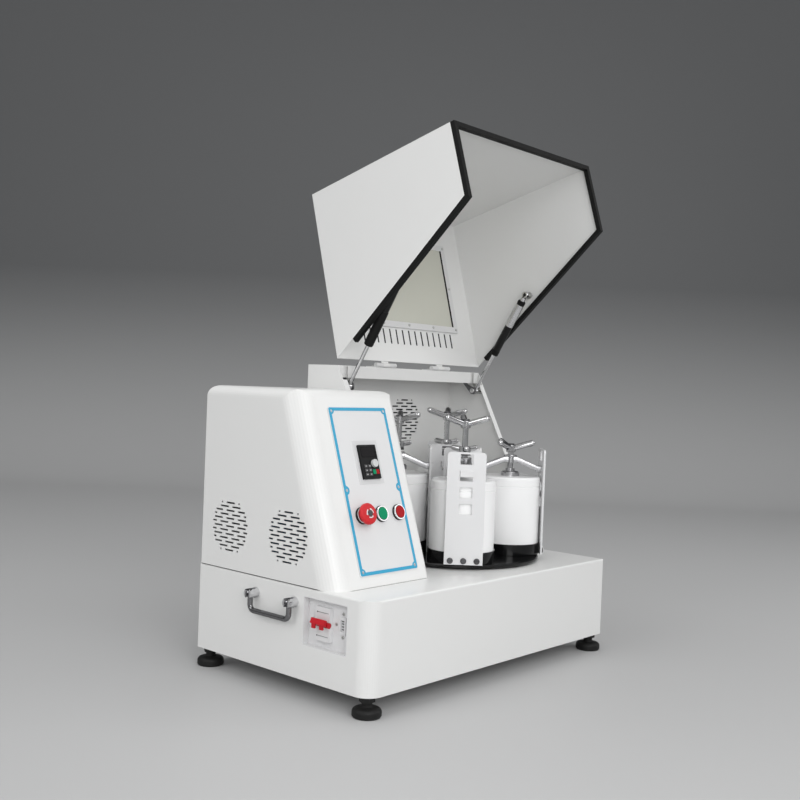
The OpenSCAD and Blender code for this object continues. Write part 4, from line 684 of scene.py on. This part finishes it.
def strutFittings():
    # end cap, stud with its nut, neck and eye on both tubes, a thick sleeve on the left one, a collar and a
    # blank label on the right one. Sleeve, collar and label are drawn from the edge of the tube's low end,
    # the crown from the edge of its top end, and the stud from the hood's pin.
    d = dict(tubeR=0.009, tubeLow=0.1038, tubeTop=0.2488,
             sleeve=((-0.0045, -0.0015), (0.0, -0.0015), (0.0009, 0.0), (0.0011, 0.002), (0.0011, 0.078),
                     (0.0006, 0.080), (0.0, 0.0803)),
             collar=((-0.0045, -0.0012), (-0.001, -0.0012), (0.0004, 0.0004), (0.0005, 0.012), (0.0, 0.0122)),
             label=((-0.0002, 0.078), (0.00012, 0.078), (0.00012, 0.136), (-0.0002, 0.136)),
             crown=((0.0, -0.006), (0.0004, -0.0055), (0.0004, 0.0), (-0.001, 0.0015), (-0.0044, 0.0015)),
             stud=((0, 0.0042), (0.0046, 0.0042), (0.0046, 0.0110), (0.0078, 0.0110), (0.0078, 0.0158),
                   (0.0072, 0.0164), (0.0046, 0.0164), (0.0046, 0.0178), (0, 0.0178)),
             neckR=(0.0040, 0.0056), neckLow=0.0012, neckTop=0.0074, eyeR=(0.0042, 0.0078), eyeHalf=0.0042,
             eyeCut=(0.0006, 0.0006))
    foot, top = np.array([0, *struts["foot"]]), np.array([0, *struts["top"]])
    far = np.linalg.norm(top - foot)
    along = (top - foot) / far
    lowEnd, topEnd = np.array([d["tubeR"], d["tubeLow"]]), np.array([d["tubeR"], d["tubeTop"]])
    neck = ringOutline(*d["neckR"], d["tubeTop"] + d["neckLow"], far - d["neckTop"])
    eye = ringOutline(*d["eyeR"], -d["eyeHalf"], d["eyeHalf"], d["eyeCut"], d["eyeCut"])
    for side, x, outward in struts["sides"]:
        body = "strut_tube_" + side
        low, high = foot + [x, 0, 0], top + [x, 0, 0]
        gripped = d["sleeve"] if side == "left" else d["collar"]
        lathe("strutCrown_" + side, d["crown"] + topEnd, low, along, "seal", body, around=36)
        lathe("strutStud_" + side, d["stud"], high, (outward, 0, 0), "zinc", body, around=24)
        lathe("strutSleeve_" + side, gripped + lowEnd, low, along, "seal", body, around=36)
        if side == "right":
            lathe("strutLabel", d["label"] + lowEnd, low, along, "label", body, around=36)
        lathe("strutNeck_" + side, neck, low, along, "chrome", body, around=28)
        lathe("strutEye_" + side, eye, high, (1, 0, 0), "chrome", body, around=28)


def strutCheeks():
    # outer cheek of each lower bracket, hung behind the rail's lip, and the pin's head on it
    d = dict(gap=0.0072, thick=0.0024, head=(0.0062, 0.0030, 0.0012),
             cheek=((-0.0080, -0.0040), (-0.0040, -0.0085), (0.0040, -0.0085), (0.0300, 0.0180),
                    (0.0300, 0.0410), (0.0168, 0.0410), (0.0168, 0.0150), (-0.0070, 0.0060)))
    cheek = np.array(d["cheek"]) + struts["foot"]
    for side, x, outward in struts["sides"]:
        near, far = x - outward * d["gap"], x - outward * (d["gap"] + d["thick"])
        sweep("strutCheek_" + side, [(near, 0, 0), (far, 0, 0)], cheek, (0, 1, 0), up, "strutPlate", "base")
        lathe("strutPin_" + side, rounded(*d["head"]), (far, *struts["foot"]), (-outward, 0, 0), "chrome",
              "base", around=24)


def railBacks():
    # doubler plates behind the two notches in the rail's lip
    d = dict(left=0.0100, right=0.0130, y=0.1394, thick=0.0008, low=0.5805, high=0.6038)
    size = (d["left"] + d["right"], d["thick"], d["high"] - d["low"])
    plates = [((x - d["left"], d["y"], d["low"]), size) for side, x, outward in struts["sides"]]
    boxes("railBacks", plates, np.eye(3), "cabinet", "base")


def slotShadeStrips():
    # black strips inside each slot of the hood, painted shade that makes the slots read dark: two long strips
    # and two short ones
    d = dict(count=15, pitch=0.0214, width=0.0045, near=-0.051, far=-0.085, low=-0.00245, high=-0.00005,
             wall=0.0004)
    left = hood["middle"] + (np.arange(d["count"]) - (d["count"] - 1) / 2) * d["pitch"] - d["width"] / 2
    long, tall = d["near"] - d["far"], d["high"] - d["low"]
    strips = [(inHood(x + s, d["far"], d["low"]), (d["wall"], long, tall))
              for x in left for s in (0.0, d["width"] - d["wall"])]
    strips += [(inHood(x + d["wall"], y, d["low"]), (d["width"] - 2 * d["wall"], d["wall"], tall))
               for x in left for y in (d["far"], d["near"] - d["wall"])]
    boxes("slotShadeStrips", strips, hoodAxes, "seal", "hood")


hoodScrews()
paneEdgeShadows()
ventFilter()
coverScrews()
strutFittings()
strutCheeks()
railBacks()
slotShadeStrips()
print("hood, strut and rear pieces made")


def consoleGapShade():
    # dark strip in the groove under the console, painted shadow of the gap between console and base: a ring
    # of four-cornered section along its footprint
    low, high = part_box("console_shell")
    d = dict(inset=0.00035, depth=0.003, lift=0.0001, height=0.001, leftR=0.045, rightR=0.014, foot=0.0009,
             back=0.0005, steps=13)
    stretch = 1 / math.cos(slope["tilt"])
    a = np.linspace(0, np.pi / 2, d["steps"])[:, None]
    inset = np.array([d["inset"], d["inset"], d["depth"], d["depth"]])
    level = low[2] + d["lift"] + np.array([0, d["height"], d["height"], 0])
    left, right = low[0] + inset, high[0] - inset
    front, back = slope["footY"] + d["foot"] + inset, high[1] - inset - d["back"]
    rl, rr = d["leftR"] - inset, d["rightR"] - inset
    x = np.concatenate([left + rl - rl * np.cos(a), right - rr + rr * np.sin(a), [right, left]])
    y = np.concatenate([front + (rl - rl * np.sin(a)) * stretch, front + (rr - rr * np.cos(a)) * stretch,
                        [back, back]])
    points = np.stack([x, y, np.broadcast_to(level, x.shape)], -1)
    piece("consoleGapShade", points, gridFaces(1, len(x), len(inset), closeRows=True), "seal", "base")


def breakerFittings():
    # dark strips painted as the shade in the breaker's grooves, dots on the breaker, dark patches painted as
    # the shade in the outlet's slots, the tray's screws, and legs of the linked toggle
    d = dict(face=-0.3702, floor=-0.362, lift=0.0001, y=-0.1135, z=0.142, outletY=-0.1585, outletZ=0.146,
             groove=(0.028, 0.0007, 0.0004), grooveY=-0.0155, grooveZ=(-0.0215, 0.0205),
             dot=(0.0012, 0.0006, 0.0002), dotY=0.0125, dotZ=(-0.0211, 0.0209),
             slot=(0.0064, 0.0018, 0.0006), slotY=-0.0032, slotZ=(-0.0075, -0.0025, 0.0025, 0.0068),
             screws=((-0.0835, 0.146), (-0.1420, 0.146), (-0.1585, 0.1665), (-0.1585, 0.1255)),
             head=(0.0030, 0.0016, 0.0010), socketR=0.0013, deep=0.001,
             leg=(0.009, 0.0098, 0.0035), legX=0.0045, legY=(-0.0145, 0.0055), legZ=-0.0068, legEdge=0.0008)
    axes = np.array([[0, 1.0, 0], [0, 0, 1.0], [-1.0, 0, 0]])
    face, floor = d["face"] + d["lift"], d["floor"] - d["lift"]
    lines = [((face, d["y"] + d["grooveY"], d["z"] + z), d["groove"]) for z in d["grooveZ"]]
    boxes("breakerGrooveShade", lines, axes, "strutPlate", "base")
    dots = [(face, d["y"] + d["dotY"], d["z"] + z) for z in d["dotZ"]]
    lathe("breakerDots", rounded(*d["dot"]), dots, axes[2], "key", "base", around=16)
    slots = [((floor, d["outletY"] + d["slotY"], d["outletZ"] + z), d["slot"]) for z in d["slotZ"]]
    boxes("outletSlotShade", slots, axes, "key", "base")
    head = socketHead(*d["head"], d["socketR"], d["deep"])
    heads = [(d["floor"], *place) for place in d["screws"]]
    lathe("trayScrews", head, heads, axes[2], "zinc", "base", around=20)
    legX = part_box("breaker_toggle")[0][0] + d["legX"]
    legs = [((legX, d["y"] + y, d["z"] + d["legZ"]), d["leg"]) for y in d["legY"]]
    boxes("toggleLegs", legs, axes, "red", "breaker_toggle", d["legEdge"])


consoleGapShade()
breakerFittings()
print("cabinet pieces made")


# Stage: a pale floor that runs up into a backdrop, an even world and soft lamps
def stageFloor():
    # a profile carried straight across the view: flat floor, quarter round, wall
    d = dict(front=-40.0, half=40.0, bend=3.0, bendR=1.0, wallTop=6.0, steps=12, rough=0.55,
             pale=(0.50, 0.50, 0.50, 1), dark=(0.15, 0.153, 0.156, 1), fadeFrom=0.02, fadeTo=1.2)
    a = np.linspace(0, np.pi / 2, d["steps"])
    curve = np.stack([d["bend"] + d["bendR"] * np.sin(a), d["bendR"] * (1 - np.cos(a))], -1)
    profile = np.vstack([[[d["front"], 0.0]], curve, [[d["bend"] + d["bendR"], d["wallTop"]]]])
    turn = math.radians(camera["azimuth"])
    across = np.array([math.cos(turn), math.sin(turn), 0])
    away = np.array([-math.sin(turn), math.cos(turn), 0])
    ends = np.array([-d["half"], d["half"]])
    points = profile[:, None, 0, None] * away + ends[:, None] * across + profile[:, None, 1, None] * up
    floor = bpy.data.meshes.new("floor")
    faces = gridFaces(1, len(profile), len(ends), closeColumns=False)
    floor.from_pydata(points.reshape(-1, 3), [], faces.tolist())
    floor.shade_smooth()
    material = bpy.data.materials.new("floorGrey")
    material.use_nodes = True
    tree = material.node_tree
    shader = tree.nodes["Principled BSDF"]
    shader.inputs["Roughness"].default_value = d["rough"]
    # pale floor, darker up the backdrop: a ramp over the height
    where = addNode(tree, "ShaderNodeTexCoord")
    split = addNode(tree, "ShaderNodeSeparateXYZ")
    height = addNode(tree, "ShaderNodeMapRange", {"From Min": d["fadeFrom"], "From Max": d["fadeTo"]})
    tone = addNode(tree, "ShaderNodeMix", {"A": d["pale"], "B": d["dark"]}, data_type="RGBA")
    wire(tree, (where, "Object", split, 0), (split, "Z", height, "Value"), (height, "Result", tone, "Factor"),
         (tone, "Result", shader, "Base Color"))
    floor.materials.append(material)
    addObject("floor", floor)


def softWorld():
    # even light; glossy surfaces see it darker towards the horizon, as in a room
    d = dict(tint=(0.98, 0.99, 1.0, 1), even=0.55, horizon=0.05, ceiling=0.8, dim=0.18, bright=0.7)
    world = bpy.data.worlds.new("softWorld")
    world.use_nodes = True
    tree = world.node_tree
    plain = tree.nodes["Background"]
    plain.inputs["Color"].default_value = d["tint"]
    plain.inputs["Strength"].default_value = d["even"]
    path = addNode(tree, "ShaderNodeLightPath")
    look = addNode(tree, "ShaderNodeTexCoord")
    parts = addNode(tree, "ShaderNodeSeparateXYZ")
    band = addNode(tree, "ShaderNodeMapRange", {"From Min": d["horizon"], "From Max": d["ceiling"],
                                                "To Min": d["dim"], "To Max": d["bright"]})
    room = addNode(tree, "ShaderNodeBackground")
    blend = addNode(tree, "ShaderNodeMixShader")
    wire(tree, (look, "Generated", parts, 0), (parts, "Z", band, "Value"), (band, "Result", room, "Strength"),
         (path, "Is Glossy Ray", blend, 0), (plain, 0, blend, 1), (room, 0, blend, 2),
         (blend, 0, tree.nodes["World Output"], "Surface"))
    bpy.context.scene.world = world


# Each lamp: its place, the point it faces, its width in metres and its power in watts
lamps = dict(
    keyLamp=((-0.9, -2.6, 2.2), (0.0, 0.0, 0.45), 2.0, 25),
    leftLamp=((-2.8, 0.3, 1.8), (0.0, 0.0, 0.45), 1.6, 17.5),
    rightLamp=((2.2, -1.8, 1.6), (0.1, 0.0, 0.45), 1.4, 12),
    topLamp=((0.2, 0.2, 3.4), (0.0, 0.0, 0.4), 2.2, 26),
    fillLamp=((-1.5, -1.9, 0.9), (0.15, 0.0, 0.5), 0.9, 12),
)


def softLamps():
    for name, (place, target, size, power) in lamps.items():
        light = bpy.data.lights.new(name, "AREA")
        light.size = size
        light.energy = power
        back = np.array(place) - np.array(target)
        addObject(name, light).matrix_world = placeMatrix(*sideVectors(back), place)


stageFloor()
softWorld()
softLamps()
bpy.context.scene.view_settings.view_transform = "Standard"
print("stage set")
